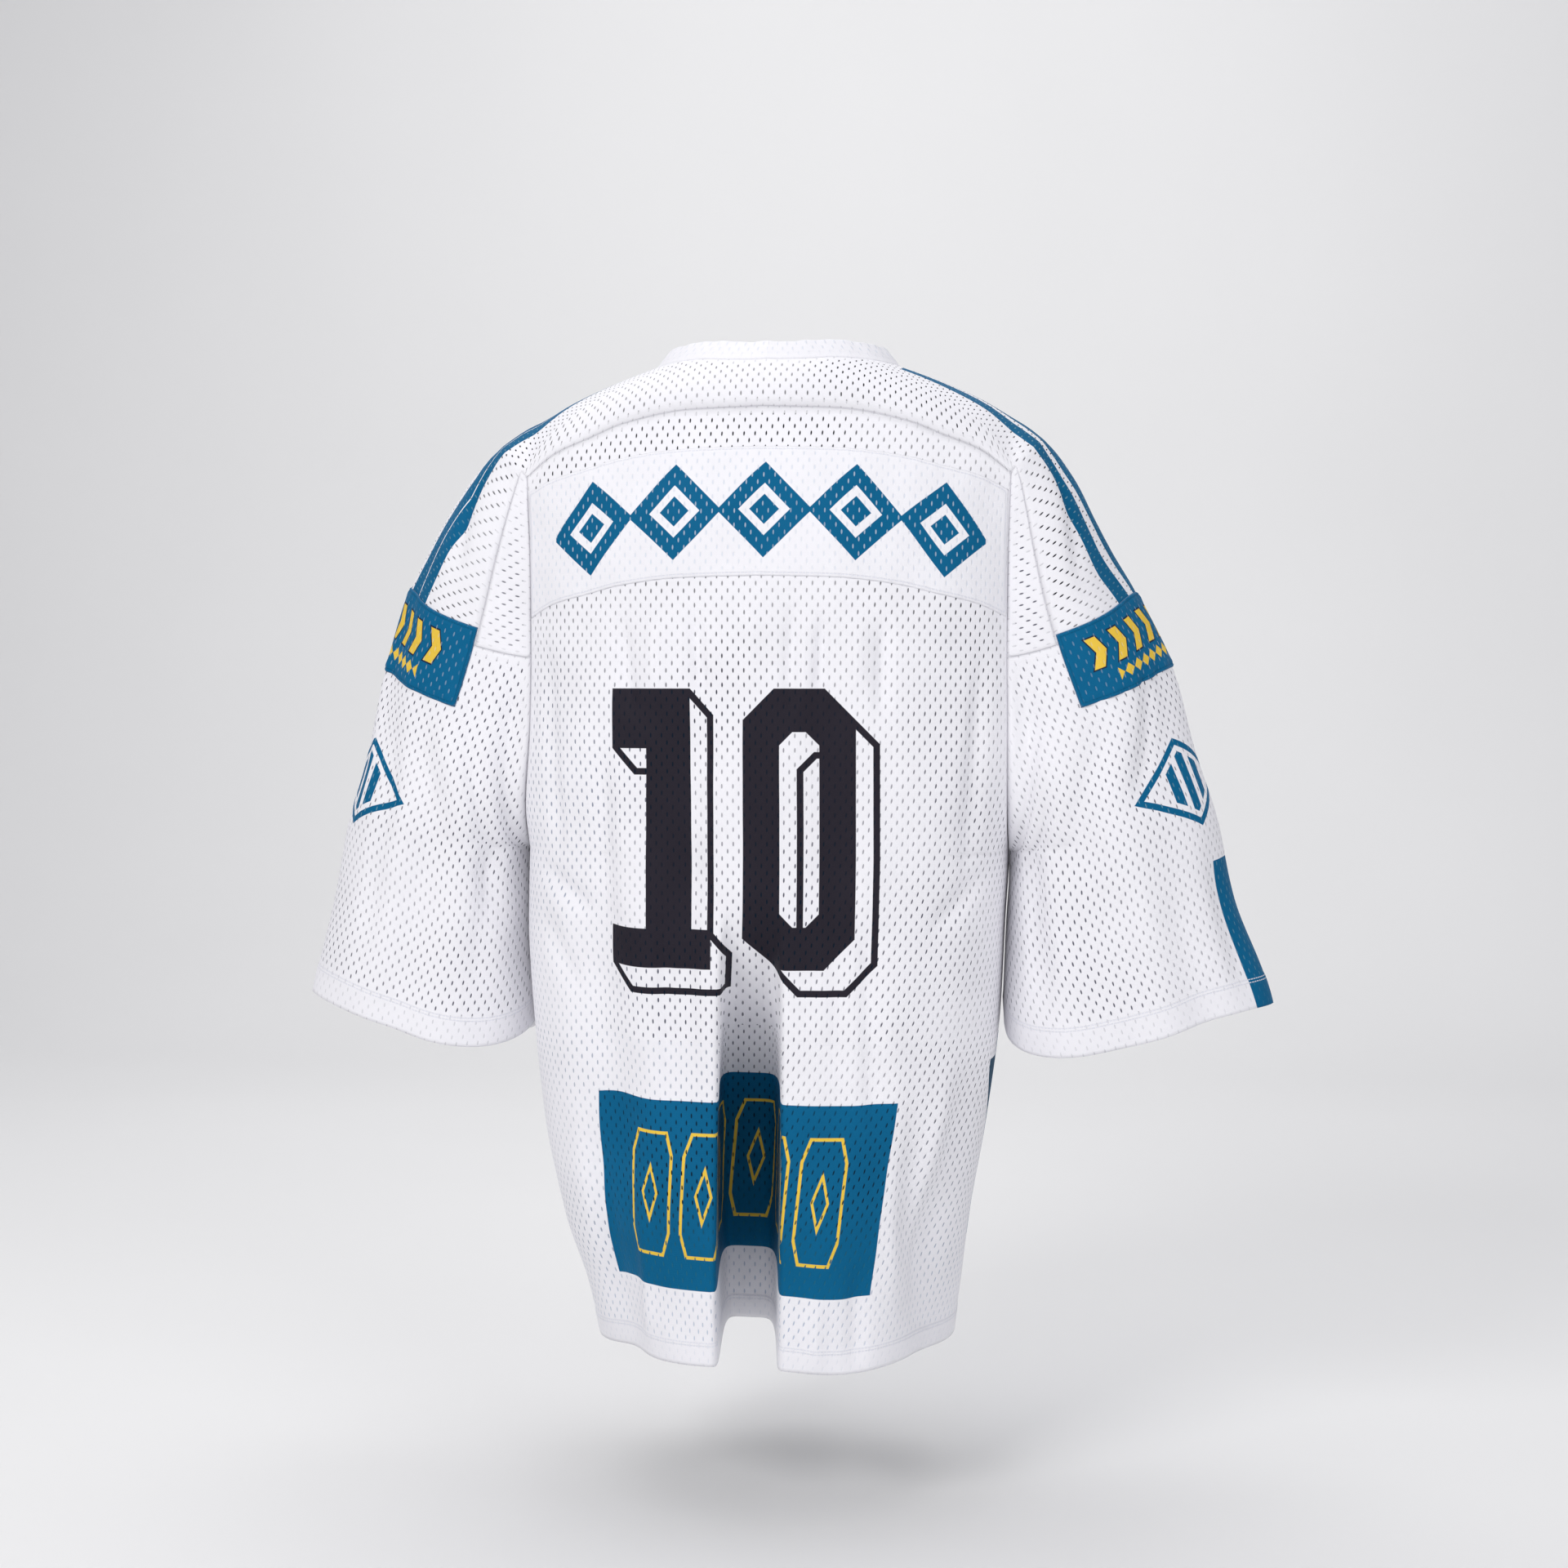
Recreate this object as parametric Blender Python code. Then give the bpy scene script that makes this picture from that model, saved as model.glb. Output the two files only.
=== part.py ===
"""A loose mesh sports jersey with wide elbow-length sleeves, in the hollow shape that it has when it is worn.

Metres, +Z up. The wearer faces -Y, so the back of the jersey is on the +Y side, and the wearer's left is +X.
The origin is between the shoulders, at the height of the neck seam beside the neck.

The worn surface is worked out row by row. A row is named by its height at the armhole seam or, lower down, at
the side seam. Each panel is a grid of points on that surface. Where panels meet they share the points and the
normals of the seam; each is then drawn back a little from it and given its thickness.
"""

import math

import bmesh
import bpy
import numpy as np
from mathutils import Vector
from mathutils.kdtree import KDTree

# ---- cloth
CLOTH = 0.0015  # wall of a single layer
DOUBLED = 0.0022  # wall of the collar band
SEWN_ON = 0.0010  # wall of the name plate and the sleeve patches
SEAM_GAP = 0.0003  # between two panels at a seam
EDGE_BACK = 0.0012  # a sewn-on piece stops this far from a seam

# ---- heights of the main rows
YOKE_CORNER = -0.098  # armhole seam meets the yoke
PLATE_TOP = -0.112
PLATE_FOOT = -0.221
PATCH_TOP = -0.243
SLEEVE_SEAM = -0.253  # upper sleeve meets lower sleeve
PATCH_FOOT = -0.310
UNDERARM = -0.420
CUFF = -0.572
HEM = -0.845

# ---- neck
NECK_HALF_WIDTH = 0.108
NECK_BACK = 0.075
NECK_FRONT = 0.092
COLLAR_HEIGHT = 0.021
COLLAR_LEAN = 0.62  # how far the band leans in for each metre of its height

# ---- grid
NECK_COLUMNS = 5  # half of the columns that end at the neck
SIDE_COLUMNS = 11  # columns from there to the armhole
HALF_COLUMNS = NECK_COLUMNS + SIDE_COLUMNS
COLUMNS = 2 * HALF_COLUMNS
SKIRT = 3  # yoke rows between its long seams and the neck; columns of an upper sleeve panel
SADDLE = 10  # yoke rows over the shoulder and across the outer arm
AROUND = SADDLE + 2 * SKIRT
FINE = 600  # points on a section before it is divided
BEND = 0.018  # length that one radian of bend counts for when a section is divided
MEET = 1e-6  # points nearer than this are one

UPPER_ROWS = (YOKE_CORNER, PLATE_TOP, -0.140, -0.168, -0.195, PLATE_FOOT, PATCH_TOP, SLEEVE_SEAM)
ARMHOLE_ROWS = (SLEEVE_SEAM, -0.280, PATCH_FOOT, -0.345, -0.375, -0.400, -0.414, UNDERARM)
SLEEVE_ROWS = ARMHOLE_ROWS + (-0.436, -0.458, -0.480, -0.502, -0.524, -0.548, CUFF)
BODY_ROWS = UPPER_ROWS + ARMHOLE_ROWS[1:] + (
    -0.450, -0.485, -0.520, -0.555, -0.590, -0.625, -0.660, -0.695, -0.730, -0.765, -0.800, -0.824, HEM)


def table(names, *rows):
    """A short table: each name gives its column as an array."""
    return dict(zip(names.split(), np.array(rows, float).T))


# The body by row: where its seams lie at the wearer's left and right, how far the back and the front stand out at the
# middle, how square the section is, and how far the row rises (back) or drops (front) in the middle.
BODY = table(
    "row    left    right   back   front  square rise   drop",
    (-0.098, 0.2075, 0.2075, 0.100, 0.125, 2.2, 0.056, 0.030),
    (-0.112, 0.2070, 0.2070, 0.117, 0.136, 2.3, 0.036, 0.028),
    (-0.168, 0.2050, 0.2050, 0.135, 0.150, 2.4, 0.035, 0.016),
    (-0.221, 0.2045, 0.2045, 0.142, 0.156, 2.5, 0.034, 0.006),
    (-0.253, 0.2045, 0.2045, 0.144, 0.158, 2.5, 0.024, 0.002),
    (-0.310, 0.2055, 0.2050, 0.145, 0.158, 2.6, 0.010, 0.000),
    (-0.420, 0.2170, 0.2035, 0.144, 0.156, 2.7, 0.000, 0.000),
    (-0.480, 0.2185, 0.2000, 0.144, 0.156, 2.7, 0.000, 0.000),
    (-0.560, 0.2150, 0.1960, 0.144, 0.155, 2.6, 0.000, 0.000),
    (-0.660, 0.2045, 0.1835, 0.148, 0.156, 2.5, 0.000, 0.000),
    (-0.740, 0.1875, 0.1695, 0.152, 0.158, 2.4, 0.000, 0.000),
    (-0.800, 0.1675, 0.1620, 0.153, 0.159, 2.3, 0.000, 0.000),
    (-0.845, 0.1570, 0.1560, 0.154, 0.160, 2.3, 0.000, 0.000),
)

# The arch of a row across the back or front: 1 in the middle, 0 at the seam.
ARCH = table(
    "across  share",
    (0.00, 1.00),
    (0.30, 0.96),
    (0.58, 0.77),
    (0.72, 0.57),
    (0.88, 0.33),
    (1.00, 0.00),
)

# The shoulder line and the outer line of the sleeve, seen from behind, at the wearer's left and right.
SHOULDER = table(
    "out    left    right",
    (0.000, 0.0230, 0.0230),
    (0.050, 0.0180, 0.0180),
    (0.108, 0.0000, 0.0000),
    (0.175, -0.0265, -0.0275),
    (0.205, -0.0425, -0.0450),
    (0.233, -0.0590, -0.0650),
    (0.243, -0.0650, -0.0735),
)
OUTER_ARM = table(
    "height  left    right",
    (-0.065, 0.2430, 0.2330),
    (-0.105, 0.2810, 0.2635),
    (-0.134, 0.3010, 0.2775),
    (-0.165, 0.3170, 0.2930),
    (-0.195, 0.3310, 0.3110),
    (-0.262, 0.3530, 0.3430),
    (-0.332, 0.3695, 0.3640),
    (-0.396, 0.3870, 0.3840),
    (-0.447, 0.3970, 0.3950),
    (-0.550, 0.4220, 0.4220),
)

# The sleeve by row: how far it is clear of the body's side, its half depth behind and in front, how much higher it
# is on the outer side, the bend of that rise, how far its back and front hang, where the yoke's arm ends, and its
# fullness.
SLEEVE = table(
    "row    clear  back   front  lift   bend  hang   split  full",
    (-0.098, 0.000, 0.078, 0.080, 0.033, 1.00, 0.000, 0.050, 0.000),
    (-0.112, 0.000, 0.078, 0.080, 0.036, 1.10, 0.000, 0.068, 0.003),
    (-0.168, 0.000, 0.078, 0.080, 0.043, 1.40, 0.000, 0.094, 0.010),
    (-0.253, 0.000, 0.078, 0.080, 0.048, 1.50, 0.000, 0.115, 0.014),
    (-0.310, 0.000, 0.079, 0.080, 0.048, 1.50, 0.000, 0.138, 0.014),
    (-0.420, 0.000, 0.082, 0.080, 0.040, 1.40, 0.000, 0.188, 0.006),
    (-0.436, 0.0012, 0.082, 0.080, 0.038, 1.35, 0.006, 0.188, 0.004),
    (-0.480, 0.0012, 0.080, 0.080, 0.032, 1.20, 0.018, 0.188, 0.002),
    (-0.540, 0.0015, 0.079, 0.079, 0.026, 1.07, 0.033, 0.188, 0.001),
    (-0.572, 0.0050, 0.078, 0.078, 0.022, 1.00, 0.040, 0.188, 0.000),
)

# Folds of the body: face +1 is the back. across is the place at the top and at the foot, with the wearer's left
# positive. Each starts at top, is full at full and keeps its depth to the hem, or fades at foot. depth is inward,
# lean moves the floor of the fold sideways, flare makes the floor wider than the mouth, and lift raises the row.
BODY_FOLDS = table(
    "face across_top across_foot top  full  foot  half_width edge depth lean flare lift",
    (1, 0.004, 0.006, -0.440, -0.690, -2.0, 0.0225, 6.0, 0.128, 0.019, 0.017, 0.012),
    (1, 0.150, 0.118, -0.300, -0.560, -2.0, 0.026, 2.0, 0.012, 0.000, 0.000, 0.004),
    (1, -0.110, -0.150, -0.560, -0.740, -2.0, 0.024, 2.0, 0.016, 0.000, 0.000, 0.000),
    (1, -0.070, -0.070, -0.500, -0.800, -2.0, 0.040, 2.0, 0.000, 0.000, 0.000, -0.005),
    (1, 0.052, 0.066, -0.230, -0.420, -0.8, 0.018, 2.0, 0.007, 0.000, 0.000, 0.000),
    (1, -0.058, -0.070, -0.230, -0.420, -0.8, 0.018, 2.0, 0.007, 0.000, 0.000, 0.000),
    (-1, 0.062, 0.058, -0.300, -0.640, -2.0, 0.030, 2.4, 0.050, 0.004, 0.000, 0.006),
    (-1, -0.074, -0.066, -0.340, -0.680, -2.0, 0.028, 2.4, 0.044, -0.004, 0.000, 0.005),
    (-1, 0.000, 0.004, -0.260, -0.520, -2.0, 0.026, 2.0, 0.010, 0.000, 0.000, 0.000),
)

# Folds of the sleeves: side +1 is the wearer's left, and around runs from 0 at the back seam to 1 at the front.
SLEEVE_FOLDS = table(
    "side  around_top around_foot  top     full    half_width  depth",
    (1, 0.200, 0.260, -0.230, -0.420, 0.040, 0.010),
    (1, 0.780, 0.720, -0.240, -0.460, 0.045, 0.009),
    (-1, 0.170, 0.225, -0.240, -0.440, 0.036, 0.011),
    (-1, 0.330, 0.345, -0.380, -0.520, 0.036, 0.008),
    (-1, 0.790, 0.730, -0.240, -0.460, 0.045, 0.009),
)

WHITE = (0.86, 0.87, 0.92)
TEAL = (0.004, 0.210, 0.440)


# ---- curves through tables

def smooth(columns, key, value, at):
    """The value at a key, on a curve through the table's rows that never overshoots them."""
    x, y = columns[key], columns[value]
    if x[0] > x[-1]:
        x, y = x[::-1], y[::-1]
    steps = np.diff(x)
    slopes = np.diff(y) / steps
    tangents = np.zeros(len(x))
    for i in range(1, len(x) - 1):
        if slopes[i - 1] * slopes[i] > 0:
            before, after = steps[i] * 2 + steps[i - 1], steps[i] + steps[i - 1] * 2
            tangents[i] = (before + after) / (before / slopes[i - 1] + after / slopes[i])
    tangents[0], tangents[-1] = slopes[0], slopes[-1]
    at = np.clip(at, x[0], x[-1])
    i = np.clip(np.searchsorted(x, at) - 1, 0, len(slopes) - 1)
    t = (at - x[i]) / steps[i]
    return (
        y[i] * (1 + 2 * t) * (1 - t) ** 2
        + tangents[i] * steps[i] * t * (1 - t) ** 2
        + y[i + 1] * t * t * (3 - 2 * t)
        + tangents[i + 1] * steps[i] * t * t * (t - 1)
    )


def ease(value, start, end):
    """0 at start, 1 at end, level at both."""
    t = np.clip((value - start) / (end - start), 0, 1)
    return t * t * (3 - 2 * t)


def rows_of(columns):
    """The table's rows, each as a dictionary."""
    return [dict(zip(columns, row)) for row in zip(*columns.values())]


# ---- the body's sections

def armhole_open(row):
    """How wide the armhole is in this row, as a share of the sleeve's depth: 1 down to the patch, 0 at its foot."""
    down = np.clip((PATCH_FOOT - row) / (PATCH_FOOT - UNDERARM), 0, 1)
    return math.sqrt(1 - down * down)


def seam_depth(face, row):
    """How far behind (+1) or in front (-1) of the middle the armhole seam lies in this row."""
    return smooth(SLEEVE, "row", "back" if face > 0 else "front", row) * armhole_open(row)


def hand(side):
    return "left" if side > 0 else "right"


def fold_moves(face, row, x):
    """How far the folds move each point of a section in, sideways and up."""
    inward, sideways, up = np.zeros((3, len(x)))
    held = 1 - (x / np.where(x > 0, x[0], x[-1])) ** 12
    for fold in rows_of(BODY_FOLDS):
        if fold["face"] != face:
            continue
        share = ease(row, fold["top"], fold["full"])
        if fold["foot"] > HEM:
            share *= 1 - ease(row, fold["full"], fold["foot"])
        middle = fold["across_top"] + (fold["across_foot"] - fold["across_top"]) * ease(row, fold["top"], HEM)
        shape = np.exp(-np.abs((x - middle) / fold["half_width"]) ** fold["edge"]) * held
        inward += share * fold["depth"] * shape
        sideways += share * (fold["lean"] + fold["flare"] * (x - middle) / fold["half_width"]) * shape
        up += share * fold["lift"] * shape
    return inward, sideways, up


def body_section(face, row):
    """Points on the back (+1) or front (-1) of the body in this row, from the wearer's left seam to the right."""
    left, right, square = (smooth(BODY, "row", name, row) for name in ("left", "right", "square"))
    depth = smooth(BODY, "row", "back" if face > 0 else "front", row)
    start = math.asin((seam_depth(face, row) / depth) ** (square / 2))
    angle = np.linspace(start, math.pi - start, FINE + 1)
    side = np.where(angle < math.pi / 2, left, right)
    x = side * np.sign(np.cos(angle)) * (np.abs(np.cos(angle)) / math.cos(start)) ** (2 / square)
    y = depth * np.sin(angle) ** (2 / square)
    arch = smooth(ARCH, "across", "share", np.abs(x) / side)
    z = row + arch * (smooth(BODY, "row", "rise", row) if face > 0 else -smooth(BODY, "row", "drop", row))
    along_x, along_y = np.gradient(x), np.gradient(y)
    length = np.hypot(along_x, along_y)
    inward, sideways, up = fold_moves(face, row, x)
    x, y, z = x - inward * along_y / length + sideways, y + inward * along_x / length, z + up
    return np.column_stack([x, face * y, z])


def divided(points, count):
    """The same line in count steps, even in length but closer together where the line bends."""
    steps = np.diff(points, axis=0)
    heading = np.unwrap(np.arctan2(steps[:, 1], steps[:, 0]))
    bends = np.abs(np.gradient(heading))
    run = np.concatenate([[0], np.cumsum(np.linalg.norm(steps, axis=1) + BEND * bends)])
    at = np.linspace(0, run[-1], count + 1)
    return np.column_stack([np.interp(at, run, points[:, axis]) for axis in range(3)])


# ---- the sleeve's sections

def sleeve_columns(row):
    """Where the columns of a sleeve lie in this row, from 0 at the back seam to 1 at the front seam."""
    split = smooth(SLEEVE, "row", "split", row)
    return np.concatenate([
        np.linspace(0, split, SKIRT + 1),
        np.linspace(split, 1 - split, SADDLE + 1)[1:],
        np.linspace(1 - split, 1, SKIRT + 1)[1:],
    ])


def sleeve_point(side, around, row):
    """A point of the sleeve: side is +1 for the wearer's left."""
    at = {name: smooth(SLEEVE, "row", name, row) for name in SLEEVE if name != "row"}
    face, turn = (1, around) if around <= 0.5 else (-1, 1 - around)
    depth = at["back"] if face > 0 else at["front"]
    inner = smooth(BODY, "row", hand(side), row) + at["clear"]
    outer = smooth(OUTER_ARM, "height", hand(side), row + at["lift"])
    start = math.asin(armhole_open(row))
    angle = start + (math.pi - start) * 2 * turn
    half_width = (outer - inner) / (1 + math.cos(start))
    x = outer - half_width * (1 + math.cos(angle))
    y = depth * math.sin(angle)
    share = (x - inner) / (outer - inner)
    inward = -at["full"] * math.sin(math.pi * min(turn / 0.38, 1)) ** 2
    for fold in rows_of(SLEEVE_FOLDS):
        if fold["side"] == side:
            down = ease(row, fold["top"], CUFF)
            middle = fold["around_top"] + (fold["around_foot"] - fold["around_top"]) * down
            shape = math.exp(-(((around - middle) / fold["half_width"]) ** 2))
            inward += fold["depth"] * ease(row, fold["top"], fold["full"]) * shape
    out_x, out_y = -depth * math.cos(angle), half_width * math.sin(angle)
    length = math.hypot(out_x, out_y)
    hang = at["hang"] * (1 - share) * abs(y) / depth
    z = row + at["lift"] * max(share, 0) ** at["bend"] - hang
    return side * (x - inward * out_x / length), face * (y - inward * out_y / length), z


# ---- the yoke

def neck_point(angle):
    """The neck seam in plan. The angle is 0 at the back, and the wearer's left is positive."""
    reach = NECK_BACK if math.cos(angle) > 0 else NECK_FRONT
    return np.array([NECK_HALF_WIDTH * math.sin(angle), reach * math.cos(angle)])


def yoke_height(x, y):
    """Height of the shoulders over a place in plan."""
    seam = TOP_SECTION[1 if y >= 0 else -1][::-1]
    seam_y, seam_z = (np.interp(abs(x), seam[:, 0], seam[:, axis]) for axis in (1, 2))
    ridge = smooth(SHOULDER, "out", hand(x), abs(x))
    bend = 2.0 if y >= 0 else 1.15 + 0.85 * min(abs(x) / 0.2, 1) ** 2
    away = min(abs(y / seam_y), 1)
    return seam_z + (ridge - seam_z) * (1 - away ** bend) ** (1 / bend)


def neck_side(side, line):
    """Plan of the yoke column beside the neck, by line from the back seam to the front seam."""
    back, front = neck_point(side * math.pi / 4), neck_point(side * math.pi * 3 / 4)
    column = HALF_COLUMNS - side * NECK_COLUMNS
    if line <= SKIRT:
        return TOP[1][column][:2] + (back - TOP[1][column][:2]) * line / SKIRT
    if line >= SKIRT + SADDLE:
        return TOP[-1][column][:2] + (front - TOP[-1][column][:2]) * (AROUND - line) / SKIRT
    return neck_point(side * math.pi * (1 / 4 + (line - SKIRT) / SADDLE / 2))


def yoke_point(column, line):
    """A point of the yoke between the armholes. Column 0 is at the wearer's left, line 0 at the back seam."""
    if line in (0, AROUND):
        return TOP[1 if line == 0 else -1][column]
    out = HALF_COLUMNS - column
    side = 1 if out > 0 else -1
    if abs(out) < NECK_COLUMNS:
        face = 1 if line < AROUND / 2 else -1
        angle = math.pi / 4 * out / NECK_COLUMNS
        rim = neck_point(angle if face > 0 else math.pi - angle)
        lines = line if face > 0 else AROUND - line
        seam = TOP[face][column][:2]
        x, y = seam + (rim - seam) * lines / SKIRT
        return x, y, yoke_height(x, y)
    share = (abs(out) - NECK_COLUMNS) / SIDE_COLUMNS
    corner = np.array(sleeve_point(side, sleeve_columns(YOKE_CORNER)[line], YOKE_CORNER))
    if share == 1:
        return corner
    near = neck_side(side, line)
    plan = near + (corner[:2] - near) * share
    for face, first in ((1, 0), (-1, AROUND)):
        if abs(line - first) < SKIRT:
            edge = neck_side(side, first)
            reach = np.array(sleeve_point(side, first / AROUND, YOKE_CORNER))[:2]
            stray = TOP[face][column][:2] - edge - (reach - edge) * share
            plan = plan + stray * (1 - abs(line - first) / SKIRT)
    x, y = plan
    lift = corner[2] - yoke_height(*corner[:2])
    return x, y, yoke_height(x, y) + lift * share ** 3


# ---- panels as open grids

def cell(surface, face):
    """The column and line of the grid's cell that holds this face."""
    layers = (surface.verts.layers.int[name] for name in ("column", "line"))
    return tuple(min(vertex[layer] for vertex in face.verts) for layer in layers)


def drop_cells(surface, keep):
    gone = [face for face in surface.faces if not keep(*cell(surface, face))]
    bmesh.ops.delete(surface, geom=gone, context="FACES")


def grid(columns, lines, place, keep=lambda column, line: True):
    """An open surface: a grid whose points are put where place(column, line) says, without the cells not kept."""
    surface = bmesh.new()
    bmesh.ops.create_grid(surface, x_segments=columns, y_segments=lines, size=0.5)
    column, line = (surface.verts.layers.int.new(name) for name in ("column", "line"))
    for vertex in surface.verts:
        vertex[column] = round((vertex.co.x + 0.5) * columns)
        vertex[line] = round((vertex.co.y + 0.5) * lines)
    drop_cells(surface, keep)
    for vertex in surface.verts:
        vertex.co = Vector(place(vertex[column], vertex[line]))
    bmesh.ops.remove_doubles(surface, verts=surface.verts[:], dist=MEET)
    bmesh.ops.triangulate(surface, faces=surface.faces[:], quad_method="FIXED")
    return surface


def facing(surface, outward):
    """Turns the surface over where its faces don't point the way that outward(centre) gives."""
    surface.normal_update()
    agree = sum(face.normal.dot(Vector(outward(face.calc_center_median()))) for face in surface.faces)
    if agree < 0:
        bmesh.ops.reverse_faces(surface, faces=surface.faces[:])
        surface.normal_update()
    return surface


def body_panel(face):
    sections = [divided(body_section(face, row), COLUMNS) for row in BODY_ROWS]
    panel = grid(COLUMNS, len(BODY_ROWS) - 1, lambda column, line: sections[line][column])
    return facing(panel, lambda centre: (centre.x, centre.y, 0))


def yoke_panel():
    """The yoke: its middle, and an arm on each side that ends at the sleeve seam."""
    arm = len(UPPER_ROWS) - 1

    def place(column, line):
        out = column - arm
        if 0 <= out <= COLUMNS:
            return yoke_point(out, line)
        side, row = (1, UPPER_ROWS[-out]) if out < 0 else (-1, UPPER_ROWS[out - COLUMNS])
        return sleeve_point(side, sleeve_columns(row)[line], row)

    def keep(column, line):
        out = column - arm
        over = SKIRT <= line < SKIRT + SADDLE
        if 0 <= out < COLUMNS:
            return not (over and abs(out + 0.5 - HALF_COLUMNS) < NECK_COLUMNS)
        return over

    return facing(grid(COLUMNS + 2 * arm, AROUND, place, keep), lambda centre: (0, 0, 1))


def sleeve_panel(side, rows, first, last):
    """A sleeve panel over these rows, from column first to column last."""
    def place(column, line):
        row = rows[line]
        return sleeve_point(side, sleeve_columns(row)[first + column], row)

    middle = sleeve_point(side, 0.5, rows[-1])[0] - side * 0.08
    panel = grid(last - first, len(rows) - 1, place)
    return facing(panel, lambda centre: (centre.x - middle, centre.y, 0))


def collar_band():
    """The band round the neck. Its foot takes the yoke's points along the neck seam."""
    quarter = [math.pi / 4 * step / NECK_COLUMNS for step in range(-NECK_COLUMNS, NECK_COLUMNS)]
    side = [math.pi / 4 + math.pi / 2 * step / SADDLE for step in range(SADDLE)]
    angles = quarter + side + [a + math.pi for a in quarter] + [a + math.pi for a in side]
    levels = 2

    def place(column, line):
        angle = angles[column % len(angles)]
        x, y = neck_point(angle)
        inward = Vector((-x, -y, 0)).normalized() * COLLAR_LEAN
        up = Vector((0, 0, math.sqrt(1 - COLLAR_LEAN ** 2)))
        return Vector((x, y, yoke_height(x, y))) + (inward + up) * COLLAR_HEIGHT * line / levels

    return facing(grid(len(angles), levels, place), lambda centre: (centre.x, centre.y, 0))


def part_of(*choices):
    """A copy of some cells of some panels, joined where the panels meet. Each choice is a panel and a rule."""
    joined = bmesh.new()
    for surface, keep in choices:
        piece = surface.copy()
        drop_cells(piece, keep)
        mesh = bpy.data.meshes.new("piece")
        piece.to_mesh(mesh)
        piece.free()
        joined.from_mesh(mesh)
        bpy.data.meshes.remove(mesh)
    bmesh.ops.remove_doubles(joined, verts=joined.verts[:], dist=MEET)
    joined.normal_update()
    return joined


# ---- walls

def seam_normals(surfaces):
    """A function that gives the normal at a vertex, shared by all the panels that meet there.

    Close under the arm the body and the sleeve face each other, and there each panel keeps its own normal.
    """
    spots = [(vertex.co.copy(), vertex.normal.copy()) for surface in surfaces for vertex in surface.verts]
    tree = KDTree(len(spots))
    for number, (place, _) in enumerate(spots):
        tree.insert(place, number)
    tree.balance()

    def normal_at(vertex):
        total = Vector((0, 0, 0))
        for _, number, _ in tree.find_range(vertex.co, MEET):
            total += spots[number][1]
        total.normalize()
        return total if total.dot(vertex.normal) > 0.6 else vertex.normal.copy()

    return normal_at


def drawn_back(vertex, normal, distance):
    """How an edge point moves to leave the seam by this distance."""
    away = []
    for edge in vertex.link_edges:
        if edge.is_boundary:
            face = edge.link_faces[0]
            inside = face.normal.cross(edge.verts[1].co - edge.verts[0].co).normalized()
            if inside.dot(face.calc_center_median() - edge.verts[0].co) < 0:
                inside.negate()
            away.append(inside / max(inside.cross(normal).length, 0.5))
    if len(away) != 2:
        return Vector((0, 0, 0))
    move = (away[0] + away[1]) * distance / max(1 + away[0].dot(away[1]), 0.3)
    return move if normal != vertex.normal else move - normal * distance


def wall(name, surface, normal_at, thickness, colour, lift=0.0, back=SEAM_GAP / 2):
    """A closed wall whose outer side is the surface, raised by lift, with its edges drawn back from the seams."""
    moves = {}
    for vertex in surface.verts:
        normal = normal_at(vertex)
        edge = drawn_back(vertex, normal, back) if vertex.is_boundary else Vector((0, 0, 0))
        moves[vertex] = (vertex.co + edge + normal * lift, normal)
    inward = {}
    for vertex, (place, normal) in moves.items():
        vertex.co = place
        inward[vertex.co.copy().freeze()] = normal * -thickness
    made = bmesh.ops.extrude_face_region(surface, geom=surface.faces[:])
    for vertex in made["geom"]:
        if isinstance(vertex, bmesh.types.BMVert):
            vertex.co += inward[vertex.co.copy().freeze()]
    bmesh.ops.recalc_face_normals(surface, faces=surface.faces[:])
    bmesh.ops.triangulate(surface, faces=surface.faces[:], quad_method="FIXED")
    mesh = bpy.data.meshes.new(name)
    surface.to_mesh(mesh)
    surface.free()
    mesh.shade_smooth()
    mesh.materials.append(cloth_material(name, colour))
    piece = bpy.data.objects.new(name, mesh)
    piece.parent = JERSEY
    COLLECTION.objects.link(piece)


def cloth_material(name, colour):
    material = bpy.data.materials.new(name)
    material.use_nodes = True
    shader = material.node_tree.nodes["Principled BSDF"]
    shader.inputs["Base Color"].default_value = (*colour, 1)
    shader.inputs["Roughness"].default_value = 0.75
    shader.inputs["Metallic"].default_value = 0.0
    return material


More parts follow.
